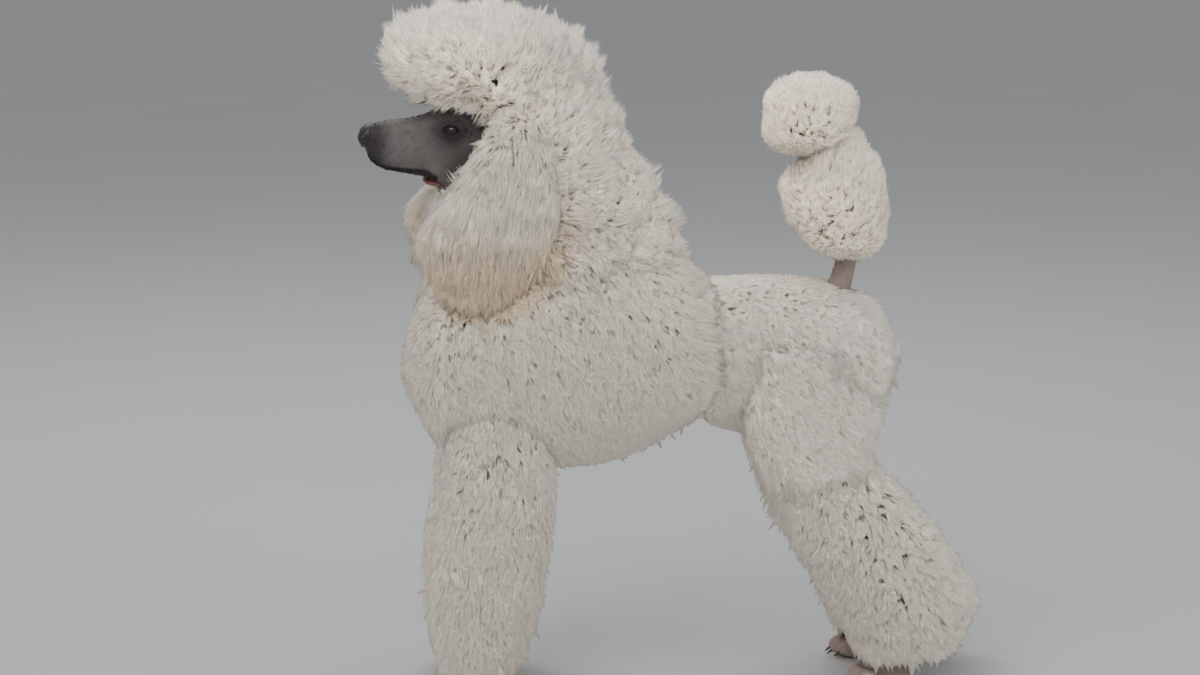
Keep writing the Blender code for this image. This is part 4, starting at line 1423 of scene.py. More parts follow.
    def build(self, material: bpy.types.Material) -> bpy.types.Object:
        """Makes the tufts as one mesh, with their tints, painted shade that darkens each tuft towards its
        root, the lie of the coat and the bake map.

        Args:
            material: Finish of the coat.

        Returns:
            The piece.
        """
        grown = self.grow()
        rings, faces = grown.rings, grown.faces()
        made = triangles_object(self.name, grown.points(self.lowest), faces)
        share = np.concatenate((np.repeat(np.arange(rings) / rings, 3), (1.0,)))
        # Painted shade: each tuft darker towards its root, where the coat around it shades it, times a
        # random tone for each tuft.
        shade = (0.90 + 0.13 * share)[None, :] * grown.shade[:, None]
        colour = marking(self.form.surface(grown.angle, grown.place))[:, None, :] * shade[:, :, None]
        set_tint(made.data, colour.reshape(-1, 3).clip(0.0, 0.95))
        set_vectors(made.data, LAY, np.repeat(grown.normal, len(share), axis=0))
        corners = self.patches(grown, share)[faces.ravel()].clip(0.0, 1.0)
        bake = made.data.uv_layers.new(name=BAKE_MAP)
        bake.data.foreach_set("uv", corners.astype(np.float32).ravel())
        place_piece(made, material, [])
        return made


def nearest(points: np.ndarray, centres: np.ndarray) -> np.ndarray:
    """Number of the nearest centre to each point.

    Args:
        points: Any points.
        centres: Points to choose from.

    Returns:
        A number for each point.
    """
    found = np.empty(len(points), dtype=int)
    batch = 2000
    for start in range(0, len(points), batch):
        some = points[start : start + batch]
        gap = np.sum((some[:, None] - centres[None]) ** 2, axis=2)
        found[start : start + batch] = np.argmin(gap, axis=1)
    return found


def triangles_object(name: str, points: np.ndarray, faces: np.ndarray) -> bpy.types.Object:
    """An object from arrays of points and triangles.

    Args:
        name: The object's name.
        points: Its points.
        faces: Three numbers of points for each triangle.

    Returns:
        The object.
    """
    mesh = bpy.data.meshes.new(name)
    mesh.vertices.add(len(points))
    mesh.vertices.foreach_set("co", points.astype(np.float32).ravel())
    mesh.loops.add(faces.size)
    mesh.loops.foreach_set("vertex_index", faces.astype(np.int32).ravel())
    mesh.polygons.add(len(faces))
    mesh.polygons.foreach_set("loop_start", np.arange(0, faces.size, 3, dtype=np.int32))
    mesh.update(calc_edges=True)
    mesh.validate()
    mesh.shade_smooth()
    return linked(name, mesh)


def everywhere(points: np.ndarray) -> np.ndarray:
    """Keeps every point."""
    return np.ones(len(points), dtype=bool)


def above_brow(points: np.ndarray) -> np.ndarray:
    """The part of the head's hair over the ears."""
    return points[:, 2] > 0.79


def behind_jacket(points: np.ndarray) -> np.ndarray:
    """The clipped part of the trunk."""
    return points[:, 0] > JACKET_END - 0.012


def on_left(points: np.ndarray) -> np.ndarray:
    """The animal's left half."""
    return points[:, 1] < 0.0


def on_right(points: np.ndarray) -> np.ndarray:
    """The animal's right half."""
    return points[:, 1] >= 0.0


def below_hock(points: np.ndarray) -> np.ndarray:
    """The bracelet of a hind leg, a little past its top."""
    return above_hock(points) < 0.014


def over_hock(points: np.ndarray) -> np.ndarray:
    """The clipped thigh, a little past the bracelet's top."""
    return above_hock(points) > -0.012


def ball_comb(points: np.ndarray, normal: np.ndarray) -> np.ndarray:
    """Hair that stands out and slightly up, as on the tail."""
    return normal * 0.8 + UP * 0.6 + BACK * 0.15


def crown_comb(points: np.ndarray, normal: np.ndarray) -> np.ndarray:
    """Hair swept up, leaning forward over the brow and back behind.

    Args:
        points: Roots of the tufts.
        normal: Outward direction at each root.

    Returns:
        A direction for each root.
    """
    x, _, z = points.T
    front = smooth_step(-0.24, -0.42, x)[:, None]
    brow = (smooth_step(-0.25, -0.39, x) * smooth_step(0.96, 0.86, z))[:, None]
    lay = UP * 0.8 + BACK * 0.3
    lay = lay - BACK * 0.8 * front
    lay = lay + (UP * 0.45 - BACK * 0.60 - lay) * brow
    top = smooth_step(0.95, 0.985, z)[:, None]
    return lay + (normal * 0.8 - BACK * 0.3 - lay) * top * 0.7


def mane_comb(points: np.ndarray, normal: np.ndarray) -> np.ndarray:
    """Hair combed back and up off the neck, falling at its sides.

    Args:
        points: Roots of the tufts.
        normal: Outward direction at each root.

    Returns:
        A direction for each root.
    """
    x, _, z = points.T
    low = smooth_step(0.80, 0.60, z)[:, None]
    rear = smooth_step(-0.12, -0.04, x)[:, None]
    high = smooth_step(0.76, 0.88, z)[:, None]
    lay = BACK * 0.55 + UP * 0.45
    lay = lay + (UP * 0.8 + BACK * 0.3 - lay) * high
    lay = lay + (BACK * 0.35 - UP * 0.65 - lay) * low
    return lay + (normal * 0.4 + UP * 0.6 - lay) * rear * 0.5


def ear_comb(points: np.ndarray, normal: np.ndarray) -> np.ndarray:
    """Long strands that hang and slant a little forward, short at the ear's root.

    Args:
        points: Roots of the tufts.
        normal: Outward direction at each root.

    Returns:
        A direction for each root.
    """
    z = points[:, 2]
    long_share = 0.30 + 0.70 * smooth_step(0.84, 0.74, z)[:, None]
    slant = BACK * 0.20 * smooth_step(0.60, 0.70, z)[:, None]
    return (-UP - slant + normal * 0.1) * long_share


def jacket_comb(points: np.ndarray, normal: np.ndarray) -> np.ndarray:
    """Plush hair that stands out and leans down and back, and falls over the clipped loin behind.

    Args:
        points: Roots of the tufts.
        normal: Outward direction at each root.

    Returns:
        A direction for each root.
    """
    rear = smooth_step(-0.02, 0.06, points[:, 0])[:, None]
    lay = normal * 0.8 - UP * 0.7 + BACK * 0.3
    return lay + (BACK * 0.9 - UP * 0.35 - lay) * rear


def leg_comb(points: np.ndarray, normal: np.ndarray) -> np.ndarray:
    """Plush hair that stands out and leans down."""
    return normal * 0.6 - UP * 0.9


def bracelet_comb(points: np.ndarray, normal: np.ndarray) -> np.ndarray:
    """Fluffy hair that leans down and out behind."""
    rear = smooth_step(0.22, 0.42, points[:, 0])[:, None]
    return normal * 0.6 - UP * 0.8 + (BACK * 0.45 + UP * 0.2) * rear


def body_comb(points: np.ndarray, normal: np.ndarray) -> np.ndarray:
    """Short hair that lies back and down."""
    return BACK * 0.6 - UP * 0.7


@dataclass(frozen=True)
class Value:
    """A number's socket whose Python operators add Math nodes."""

    tree: "Finish"
    socket: bpy.types.NodeSocket

    def maths(self, operation: str, *others: "Value | float") -> "Value":
        """One Math node fed with this value and others."""
        return self.tree.maths(operation, self, *others)

    def __add__(self, other: "Value | float") -> "Value":
        """Sum."""
        return self.maths("ADD", other)

    __radd__ = __add__

    def __mul__(self, other: "Value | float") -> "Value":
        """Product."""
        return self.maths("MULTIPLY", other)

    __rmul__ = __mul__


class Finish:
    """One material and the nodes that paint it."""

    def __init__(self, name: str, **constants: Any) -> None:
        """Starts a material whose shader has some constant sockets.

        Args:
            name: The material's name.
            **constants: Values by name of socket, with _ for each space.
        """
        self.material = bpy.data.materials.new(name)
        self.material.use_nodes = True
        self.nodes = self.material.node_tree.nodes
        self.links = self.material.node_tree.links
        self.shader = self.nodes["Principled BSDF"]
        for socket, value in constants.items():
            self.shader.inputs[socket.replace("_", " ")].default_value = value

    def node(self, kind: str, settings: dict[str, Any], inputs: dict[Any, Any]) -> bpy.types.Node:
        """Adds a node.

        Args:
            kind: Blender's type of node.
            settings: Properties that are set first, with a ramp's stops under "stops".
            inputs: Values or links by socket name or number.

        Returns:
            The node.
        """
        made = self.nodes.new(kind)
        for name, value in settings.items():
            if name == "stops":
                ramp = made.color_ramp
                while len(ramp.elements) < len(value):
                    ramp.elements.new(1.0)
                for element, (position, colour) in zip(ramp.elements, value):
                    element.position = position
                    element.color = (*colour, 1.0)
            else:
                setattr(made, name, value)
        for key, value in inputs.items():
            if isinstance(value, Value):
                value = value.socket
            if isinstance(value, bpy.types.NodeSocket):
                self.links.new(value, made.inputs[key])
            else:
                made.inputs[key].default_value = value
        return made

    def maths(self, operation: str, *values: "Value | float") -> Value:
        """A Math node on values and numbers."""
        made = self.node("ShaderNodeMath", {"operation": operation}, dict(enumerate(values)))
        return Value(self, made.outputs[0])

    def place(self) -> bpy.types.NodeSocket:
        """Object coordinates."""
        return self.node("ShaderNodeTexCoord", {}, {}).outputs["Object"]

    def stretched(self, scale: tuple[float, float, float]) -> bpy.types.NodeSocket:
        """Object coordinates stretched along the axes."""
        return self.node("ShaderNodeMapping", {}, {"Vector": self.place(), "Scale": scale}).outputs[0]

    def noise(self, scale: float, detail: float = 3.0, vector: Any = None) -> Value:
        """Noise from 0 to 1."""
        inputs = {"Vector": vector or self.place(), "Scale": scale, "Detail": detail}
        return Value(self, self.node("ShaderNodeTexNoise", {}, inputs).outputs["Fac"])

    def cells(self, scale: float, vector: Any = None) -> Value:
        """Distance from the middle of scattered cells."""
        inputs = {"Vector": vector or self.place(), "Scale": scale}
        return Value(self, self.node("ShaderNodeTexVoronoi", {}, inputs).outputs["Distance"])

    def tint(self) -> bpy.types.NodeSocket:
        """The colour stored at the mesh's points."""
        return self.node("ShaderNodeAttribute", {"attribute_name": TINT}, {}).outputs["Color"]

    def scaled(self, colour: Any, factor: Value) -> bpy.types.NodeSocket:
        """A colour times a number."""
        settings = {"operation": "SCALE"}
        return self.node("ShaderNodeVectorMath", settings, {"Vector": colour, "Scale": factor}).outputs[0]

    def mixed(
        self, factor: Value, low: tuple[float, ...], high: tuple[float, ...]
    ) -> bpy.types.NodeSocket:
        """Two colours mixed by a number.

        Args:
            factor: Share of the second colour.
            low: Colour at 0.
            high: Colour at 1.

        Returns:
            The mixed colour.
        """
        settings = {"data_type": "RGBA"}
        inputs = {"Factor": factor, 6: (*low, 1.0), 7: (*high, 1.0)}
        return self.node("ShaderNodeMix", settings, inputs).outputs[2]

    def bump(
        self, height: Value, strength: float, distance: float, normal: bpy.types.NodeSocket | None = None
    ) -> bpy.types.NodeSocket:
        """A normal bumped by a height.

        Args:
            height: Height from 0 to 1.
            strength: Share of the bump that is kept.
            distance: Height in metres that 1 stands for.
            normal: Normal to start from, or the surface's own.

        Returns:
            The new normal.
        """
        inputs = {"Height": height, "Strength": strength, "Distance": distance}
        if normal is not None:
            inputs["Normal"] = normal
        return self.node("ShaderNodeBump", {}, inputs).outputs[0]

    def feed(self, **sockets: Any) -> bpy.types.Material:
        """Links values to the shader's sockets and returns the material.

        Args:
            **sockets: Links by name of socket, with _ for each space.

        Returns:
            The material.
        """
        for name, value in sockets.items():
            if isinstance(value, Value):
                value = value.socket
            self.links.new(value, self.shader.inputs[name.replace("_", " ")])
        return self.material


def coat_finish(name: str, softness: float) -> bpy.types.Material:
    """Matte hair: the stored tint, broken by fine streaks, shaded partly by the lie of the coat.

    Args:
        name: The material's name.
        softness: Share of the coat's lie in the normal.

    Returns:
        The material.
    """
    finish = Finish(name, Roughness=0.85, Sheen_Weight=0.12, Sheen_Roughness=0.5)
    finish.shader.inputs["Specular IOR Level"].default_value = 0.25
    finish.shader.subsurface_method = "BURLEY"
    finish.shader.inputs["Subsurface Weight"].default_value = 0.7
    finish.shader.inputs["Subsurface Radius"].default_value = (1.0, 0.92, 0.82)
    finish.shader.inputs["Subsurface Scale"].default_value = 0.010
    streak = finish.noise(420.0, 2.0)
    broad = finish.noise(28.0, 3.0)
    factor = 0.90 + streak * 0.12 + broad * 0.10
    lay = finish.node("ShaderNodeAttribute", {"attribute_name": LAY}, {}).outputs["Vector"]
    faced = finish.node("ShaderNodeNewGeometry", {}, {}).outputs["Normal"]
    settings = {"data_type": "VECTOR"}
    both = finish.node("ShaderNodeMix", settings, {"Factor": softness, 4: faced, 5: lay}).outputs[1]
    soft = finish.node("ShaderNodeVectorMath", {"operation": "NORMALIZE"}, {0: both}).outputs[0]
    normal = finish.bump(streak, 0.35, 0.0006, soft)
    return finish.feed(Base_Color=finish.scaled(finish.tint(), factor), Normal=normal)


def short_hair_finish() -> bpy.types.Material:
    """Very short hair in the skin's own stored tint, a little lighter.

    Returns:
        The material.
    """
    finish = Finish("short_hair", Roughness=0.7)
    broad = finish.noise(60.0, 3.0)
    return finish.feed(Base_Color=finish.scaled(finish.tint(), 1.05 + broad * 0.5))


def skin_finish() -> bpy.types.Material:
    """Shaved skin under very short hair: stubble, pores and a broad mottle over the stored tint.

    Returns:
        The material.
    """
    finish = Finish("shaved_skin")
    finish.shader.inputs["Specular IOR Level"].default_value = 0.4
    stubble = finish.noise(1100.0, 2.0, finish.stretched((0.45, 1.0, 1.0)))
    pores = finish.cells(520.0)
    mottle = finish.noise(55.0, 4.0)
    wrinkle = finish.noise(170.0, 3.0, finish.stretched((0.5, 1.0, 1.3)))
    factor = 0.62 + stubble * 0.42 + mottle * 0.36
    height = stubble * 0.5 + pores * 0.25 + wrinkle * 0.6
    rough = 0.46 + mottle * 0.22
    return finish.feed(
        Base_Color=finish.scaled(finish.tint(), factor),
        Roughness=rough,
        Normal=finish.bump(height, 0.55, 0.0009),
    )


def eye_finish() -> bpy.types.Material:
    """Dark brown eye with a clear wet front over the stored tint.

    Returns:
        The material.
    """
    finish = Finish("wet_eye", Roughness=0.08, Coat_Weight=1.0, Coat_Roughness=0.02)
    grain = finish.noise(900.0, 3.0)
    return finish.feed(Base_Color=finish.scaled(finish.tint(), 0.75 + grain * 0.5))


def nose_finish() -> bpy.types.Material:
    """Black pebbled leather, moist.

    Returns:
        The material.
    """
    finish = Finish("nose_leather", Coat_Weight=0.25, Coat_Roughness=0.25)
    pebble = finish.cells(760.0)
    broad = finish.noise(120.0, 3.0)
    colour = finish.mixed(broad, (0.010, 0.009, 0.009), (0.026, 0.022, 0.021))
    height = pebble * 1.0 + broad * 0.4
    normal = finish.bump(height, 0.6, 0.0006)
    return finish.feed(Base_Color=colour, Roughness=0.30 + broad * 0.25, Normal=normal)


def horn_finish() -> bpy.types.Material:
    """Dark horn with growth lines along it.

    Returns:
        The material.
    """
    finish = Finish("claw_horn")
    lines = finish.noise(600.0, 3.0, finish.stretched((0.25, 1.0, 1.0)))
    colour = finish.mixed(lines, (0.030, 0.024, 0.021), (0.150, 0.120, 0.100))
    normal = finish.bump(lines, 0.4, 0.0004)
    return finish.feed(Base_Color=colour, Roughness=0.28 + lines * 0.2, Normal=normal)


def tongue_finish() -> bpy.types.Material:
    """Wet red flesh with fine grain.

    Returns:
        The material.
    """
    finish = Finish("wet_tongue", Coat_Weight=0.5, Coat_Roughness=0.15)
    grain = finish.cells(900.0)
    broad = finish.noise(160.0, 3.0)
    colour = finish.mixed(broad, (0.110, 0.030, 0.026), (0.200, 0.062, 0.052))
    normal = finish.bump(grain, 0.4, 0.0004)
    return finish.feed(Base_Color=colour, Roughness=0.35 + broad * 0.2, Normal=normal)


@dataclass
class Fuzz:
    """Very short hair on the shaved face, feet and tail root, scattered and laid by Geometry Nodes."""

    density: float = 120000.0
    length: float = 0.0042
    seed: int = 7

    def tree(self) -> bpy.types.NodeTree:
        """Builds the node tree, with its sizes as named inputs.

        Returns:
            The node tree.
        """
        tree = bpy.data.node_groups.new("short_hair", "GeometryNodeTree")
        face = tree.interface
        face.new_socket("Geometry", in_out="INPUT", socket_type="NodeSocketGeometry")
        for name in ("Density", "Length"):
            face.new_socket(name, in_out="INPUT", socket_type="NodeSocketFloat")
        face.new_socket("Seed", in_out="INPUT", socket_type="NodeSocketInt")
        face.new_socket("Material", in_out="INPUT", socket_type="NodeSocketMaterial")
        face.new_socket("Geometry", in_out="OUTPUT", socket_type="NodeSocketGeometry")

        def node(kind: str, settings: dict[str, Any], inputs: dict[Any, Any]) -> bpy.types.Node:
            """Adds a node with its settings, then its values or links.

            Args:
                kind: Blender's type of node.
                settings: Properties that are set first.
                inputs: Values or links by socket name or number.

            Returns:
                The node.
            """
            made = tree.nodes.new(kind)
            for key, value in settings.items():
                setattr(made, key, value)
            for key, value in inputs.items():
                if isinstance(value, bpy.types.NodeSocket):
                    tree.links.new(value, made.inputs[key])
                else:
                    made.inputs[key].default_value = value
            return made

        def named(name: str) -> bpy.types.NodeSocket:
            """A vector stored on the skin."""
            settings = {"data_type": "FLOAT_VECTOR"}
            return node("GeometryNodeInputNamedAttribute", settings, {"Name": name}).outputs[0]

        times = {"operation": "MULTIPLY"}
        given = node("NodeGroupInput", {}, {}).outputs
        settings = {"data_type": "FLOAT"}
        share = node("GeometryNodeInputNamedAttribute", settings, {"Name": "fuzz"}).outputs[0]
        amount = node("ShaderNodeMath", times, {0: share, 1: given["Density"]}).outputs[0]
        settings = {"distribute_method": "RANDOM"}
        inputs = {"Mesh": given["Geometry"], "Density": amount, "Seed": given["Seed"]}
        spots = node("GeometryNodeDistributePointsOnFaces", settings, inputs)
        inputs = {"Vertices": 3, "Radius Top": 0.0, "Depth": 1.0, "Radius Bottom": 0.16}
        hair = node("GeometryNodeMeshCone", {"fill_type": "NGON"}, inputs)
        place = node("GeometryNodeInputPosition", {}, {}).outputs[0]
        inputs = {"Geometry": hair.outputs["Mesh"], "Name": "spot", "Value": place}
        settings = {"data_type": "FLOAT_VECTOR", "domain": "POINT"}
        marked = node("GeometryNodeStoreNamedAttribute", settings, inputs).outputs[0]
        settings = {"axis": "Z"}
        turn = node("FunctionNodeAlignRotationToVector", settings, {"Vector": named("lie")}).outputs[0]
        inputs = {2: 0.55, 3: 1.25, "Seed": given["Seed"]}
        wild = node("FunctionNodeRandomValue", {"data_type": "FLOAT"}, inputs).outputs[1]
        size = node("ShaderNodeMath", times, {0: wild, 1: given["Length"]}).outputs[0]
        inputs = {"Points": spots.outputs["Points"], "Instance": marked, "Rotation": turn, "Scale": size}
        grown = node("GeometryNodeInstanceOnPoints", {}, inputs).outputs[0]
        real = node("GeometryNodeRealizeInstances", {}, {"Geometry": grown}).outputs[0]
        inputs = {0: named("spot"), "Scale": BAKE_PATCH}
        patch = node("ShaderNodeVectorMath", {"operation": "SCALE"}, inputs).outputs[0]
        both = node("ShaderNodeVectorMath", {"operation": "ADD"}, {0: named("unwrap"), 1: patch}).outputs[0]
        settings = {"data_type": "FLOAT2", "domain": "CORNER"}
        inputs = {"Geometry": real, "Name": BAKE_MAP, "Value": both}
        mapped = node("GeometryNodeStoreNamedAttribute", settings, inputs).outputs[0]
        inputs = {"Geometry": mapped, "Material": given["Material"]}
        dressed = node("GeometryNodeSetMaterial", {}, inputs).outputs[0]
        node("NodeGroupOutput", {}, {0: dressed})
        return tree

    def tiles(self, points: np.ndarray) -> np.ndarray:
        """Places of points on the map, with one tile each for the face, the tail root and the feet.

        Args:
            points: Points of the skin.

        Returns:
            Their places on the map, with a zero third value.
        """
        x, y, z = points.T
        spots = FACE.unwrap(points) / (3.0, 2.0)
        forms = [(TAIL_ROOT, (z > 0.5) & (x > 0.1))]
        for _, side in SIDES:
            near = (z < 0.1) & (y * side > 0.0)
            forms.append((FOREFOOT.on_side(side), near & (x < 0.0)))
            forms.append((HINDFOOT.on_side(side), near & (x >= 0.0)))
        for number, (form, mask) in enumerate(forms, start=1):
            row, column = divmod(number, 3)
            spots[mask] = (form.unwrap(points[mask]) + (column, row)) / (3.0, 2.0)
        return np.concatenate((spots, np.zeros((len(spots), 1))), axis=1)

    def build(self, skin: bpy.types.Object, material: bpy.types.Material) -> None:
        """Grows the short hair from the skin's shaved parts.

        Args:
            skin: The finished skin.
            material: Finish of the hair.
        """
        points = points_of(skin.data)
        normals = np.empty(3 * len(points), dtype=np.float32)
        skin.data.vertex_normals.foreach_get("vector", normals)
        normals = normals.reshape(-1, 3).astype(float)
        x, y, z = points.T
        depth = FACE.depth_of(points)
        face = (depth > -0.008) & (depth < 0.006) & (x < -0.235) & (x > -0.425)
        feet = (z < 0.050) & (z > 0.009)
        stub = (TAIL_ROOT.depth_of(points) > -0.004) & (z > 0.57) & (z < 0.62)
        share = np.where(face, 0.30 + 0.70 * smooth_step(-0.33, -0.265, x), 0.0)
        share = share + 0.30 * feet + 0.35 * stub
        for eye in EYES:
            share = share * (eye.opening(eye.local(points)) > 1.9)
        flow = np.where(feet[:, None], -UP * 0.8 - BACK * 0.3, UP)
        flow = np.where(face[:, None], BACK - UP * 0.35, flow)
        flow = flow - normals * np.sum(flow * normals, axis=1, keepdims=True)
        source = linked("short_hair", skin.data.copy())
        mesh = source.data
        layer = mesh.attributes.new("fuzz", "FLOAT", "POINT")
        layer.data.foreach_set("value", share.astype(np.float32))
        set_vectors(mesh, "lie", unit(flow + normals * 0.42))
        set_vectors(mesh, "unwrap", self.tiles(points))
        modifier = source.modifiers.new("short hair", "NODES")
        tree = self.tree()
        values = {"Density": self.density, "Length": self.length, "Seed": self.seed, "Material": material}
        modifier.node_group = tree
        for item in tree.interface.items_tree:
            if item.in_out == "INPUT" and item.name in values:
                modifier[item.identifier] = values[item.name]
        made = evaluated(source, "short_hair")
        for name in ("fuzz", "lie", "unwrap", "spot"):
            stored = made.data.attributes.get(name)
            if stored is not None:
                made.data.attributes.remove(stored)
        place_piece(made, material, [])


@dataclass
class Head:
    """Eyes, nose and tongue, each a piece of its own."""

    def eyes(self, material: bpy.types.Material) -> None:
        """Makes both eyes, with a domed clear front, iris and pupil.

        Args:
            material: Their finish.
        """
        for (name, _), eye in zip(SIDES, EYES):
            polar = np.linspace(0.0, math.pi, 49)
            turn = np.linspace(0.0, FULL_TURN, 72, endpoint=False)
            p, a = np.meshgrid(polar, turn, indexing="ij")
            dome = 1.0 + 0.05 * np.exp(-((p / 0.42) ** 2))
            local = np.stack((np.sin(p) * np.cos(a), np.cos(p) * dome, np.sin(p) * np.sin(a)), axis=2)
            shell = Shell()
            shell.tube(eye.world(local.reshape(-1, 3) * eye.radius).reshape(local.shape))
            ball = shell.build(f"eye_ball_{name}")
            spot = eye.local(points_of(ball.data)) / eye.radius
            ahead = spot[:, 1] / np.maximum(np.linalg.norm(spot, axis=1), 1e-9)
            off = np.arccos(np.clip(ahead, -1, 1))
            iris = blend(IRIS_INNER, IRIS_OUTER, smooth_step(0.22, 0.5, off))
            iris = blend(iris, IRIS_EDGE, smooth_step(0.66, 0.74, off))
            colours = blend(iris, EYE_WHITE, smooth_step(0.80, 0.90, off))
            colours = colours * (0.25 + 0.75 * smooth_step(0.20, 0.26, off))[:, None]
            set_tint(ball.data, colours)
            place_piece(ball, material, [f"eye_{name}"])

    def nose(self, material: bpy.types.Material) -> None:
        """Makes the nose with its nostrils, side slits and the groove in its middle.

        Args:
            material: Its finish.
        """
        angles = np.linspace(0.0, FULL_TURN, 150, endpoint=False)
        points = NOSE.grid(NOSE.places(0.00045), angles)
        flat = points.reshape(-1, 3)
        for _, side in SIDES:
            hole = np.array((-0.4375, side * 0.0082, 0.7965))
            inward = unit(np.array((0.9, -side * 0.35, 0.05)))
            slit = unit(np.array((0.35, side * 0.9, -0.25)))
            local = flat - hole
            along = np.clip(local @ slit, 0.0, 0.010)
            gap = np.linalg.norm(local - along[:, None] * slit, axis=1)
            size = 0.0033 - 0.18 * along
            deep = 0.0050 * np.exp(-((gap / size) ** 4)) * (1.0 - along / 0.013)
            flat = flat + inward * deep[:, None]
            wing = np.exp(-(((gap - 0.0050) / 0.0016) ** 2)) * (along < 0.0098)
            flat = flat - inward * (0.0008 * wing)[:, None]
        front = smooth_step(-0.4280, -0.4360, flat[:, 0])
        groove = np.exp(-((flat[:, 1] / 0.0009) ** 2)) * smooth_step(0.802, 0.797, flat[:, 2]) * front
        flat = flat + BACK * (0.0014 * groove)[:, None]
        shell = Shell()
        shell.tube(flat.reshape(points.shape))
        place_piece(shell.build("nose_pad"), material, ["nose"])

    def tongue(self, material: bpy.types.Material) -> None:
        """Makes the edge of the tongue that shows at the corner of the mouth.

        Args:
            material: Its finish.
        """
        shell = Shell()
        shell.tube(TONGUE.rings(0.0008, 72))
        place_piece(shell.build("tongue_edge"), material, ["tongue"])


@dataclass
class Claws:
    """Four curved claws on each foot."""

    length: float = 0.014
    radius: float = 0.0030

    def build(self, name: str, form: Form, side: float, material: bpy.types.Material) -> None:
        """Makes the claws of one foot.

        Args:
            name: The foot's name.
            form: The left foot's form.
            side: -1 for left, 1 for right.
            material: Their finish.
        """
        form = form.on_side(side)
        low, _, _, offset = form.values(np.array((0.012,)))[0]
        shell = Shell()
        t = np.linspace(0.0, 1.0, 16)
        drop = np.interp(t, (0.0, 0.33, 0.67, 1.0), (0.0, 0.0012, 0.0040, 0.0085))
        size = self.radius * np.interp(t, (0.0, 0.33, 0.67, 0.93, 1.0), (1.0, 0.9, 0.6, 0.25, 0.05))
        for across, back in TOES:
            root = np.array((low - TOE_LENGTH * 0.55 + back, offset + across, 0.0125))
            path = root + np.stack((-self.length * t, 0.0 * t, -drop), axis=1)
            level = np.broadcast_to(ACROSS, path.shape)
            shell.bent_tube(path, level, size * 0.8, size, 16)
        nodes = [f"{name}_claw_{number}" for number in range(1, 5)]
        place_piece(shell.build(f"{name}_claws"), material, nodes)


CROWN_TUFT = Tuft(
    number=10700, under=5900, width=0.0015, sweep=0.038,
    margin=0.003, ragged=0.0020, clumps=210, gather=0.46,
    stray=0.0230, curl=0.0025, rings=2, trim=0.85,
)
MANE_TUFT = Tuft(
    number=12000, under=6500, width=0.0016, sweep=0.038,
    margin=0.003, ragged=0.0020, clumps=240, gather=0.46,
    stray=0.0270, curl=0.0025, rings=2, trim=0.90,
)
PLUME_TUFT = Tuft(
    number=4500, under=2500, width=0.0014, sweep=0.030,
    margin=0.003, ragged=0.0018, clumps=90, gather=0.30,
    stray=0.0080, curl=0.0025, rings=2, trim=0.7,
)
BALL_TUFT = Tuft(
    number=3700, under=1800, width=0.0014, sweep=0.026,
    margin=0.003, ragged=0.0016, clumps=80, gather=0.24,
    stray=0.0050, curl=0.0022, rings=2, trim=0.5,
)
LOIN_TUFT = Tuft(
    number=6400, under=4400, width=0.0015, sweep=0.023,
    margin=0.0, ragged=0.0006, clumps=1300, gather=0.30,
    stray=0.0015, curl=0.0010,
)
JACKET_TUFT = Tuft(
    number=7900, under=4900, width=0.0015, sweep=0.032,
    margin=0.0015, ragged=0.0009, clumps=420, gather=0.14,
    stray=0.0030, curl=0.0018,
)
LOBE_TUFT = Tuft(
    number=4400, under=700, width=0.0014, sweep=0.052,
    margin=0.002, ragged=0.0025, clumps=130, gather=0.22,
    stray=0.0040, curl=0.0022, rings=3, trim=0.70,
)
COLUMN_TUFT = Tuft(
    number=5500, under=3200, width=0.0015, sweep=0.031,
    margin=0.002, ragged=0.0012, clumps=200, gather=0.18,
    stray=0.0050, curl=0.0020,
)
BRACELET_TUFT = Tuft(
    number=6000, under=3500, width=0.0015, sweep=0.033,
    margin=0.002, ragged=0.0016, clumps=200, gather=0.26,
    stray=0.0110, curl=0.0022,
)
THIGH_TUFT = Tuft(
    number=3400, under=1700, width=0.0015, sweep=0.021,
    margin=0.0, ragged=0.0007, clumps=520, gather=0.30,
    stray=0.0015, curl=0.0010,
)


def coats() -> list[Coat]:
    """Every part of the coat.

    Returns:
        The parts, with the fixed seed of each as their last plain value.
    """
    legs = (HINDLEG, HINDLEG.other_side())
    made = [
        Coat("topknot_hair", TOPKNOT, TOPKNOT_DEPTH, CROWN_TUFT, crown_comb, above_brow, (NECK,), 11),
        Coat("mane_hair", NECK, MANE_DEPTH, MANE_TUFT, mane_comb, everywhere, (CHEST, TOPKNOT), 12),
        Coat("plume_hair", PLUME, PLUME_DEPTH, PLUME_TUFT, ball_comb, everywhere, (TAIL_TIP,), 13),
        Coat("ball_hair", TAIL_TIP, TIP_DEPTH, BALL_TUFT, ball_comb, everywhere, (PLUME,), 14),
        Coat("loin_hair", RUMP, CLIPPED_DEPTH, LOIN_TUFT, body_comb, behind_jacket, (CHEST, *legs), 15),
    ]
    for number, (name, side) in enumerate(SIDES):
        half = on_left if side < 0 else on_right
        ear, fore, hind = (form.on_side(side) for form in (EAR, FORELEG, HINDLEG))
        rows = (
            ("jacket", CHEST, JACKET_DEPTH, JACKET_TUFT, jacket_comb, half, (NECK, fore), 21),
            ("ear", ear, EAR_DEPTH, LOBE_TUFT, ear_comb, everywhere, (NECK,), 31),
            ("foreleg", fore, FORELEG_DEPTH, COLUMN_TUFT, leg_comb, everywhere, (CHEST,), 41),
            ("bracelet", hind, BRACELET_DEPTH, BRACELET_TUFT, bracelet_comb, below_hock, (RUMP,), 51),
            ("thigh", hind, CLIPPED_DEPTH, THIGH_TUFT, body_comb, over_hock, (RUMP,), 61),
        )
        for kind, *values, seed in rows:
            slot = Slot.EAR_COAT if kind == "ear" else Slot.COAT
            made.append(Coat(f"{kind}_hair_{name}", *values, seed + number, slot))
    return made


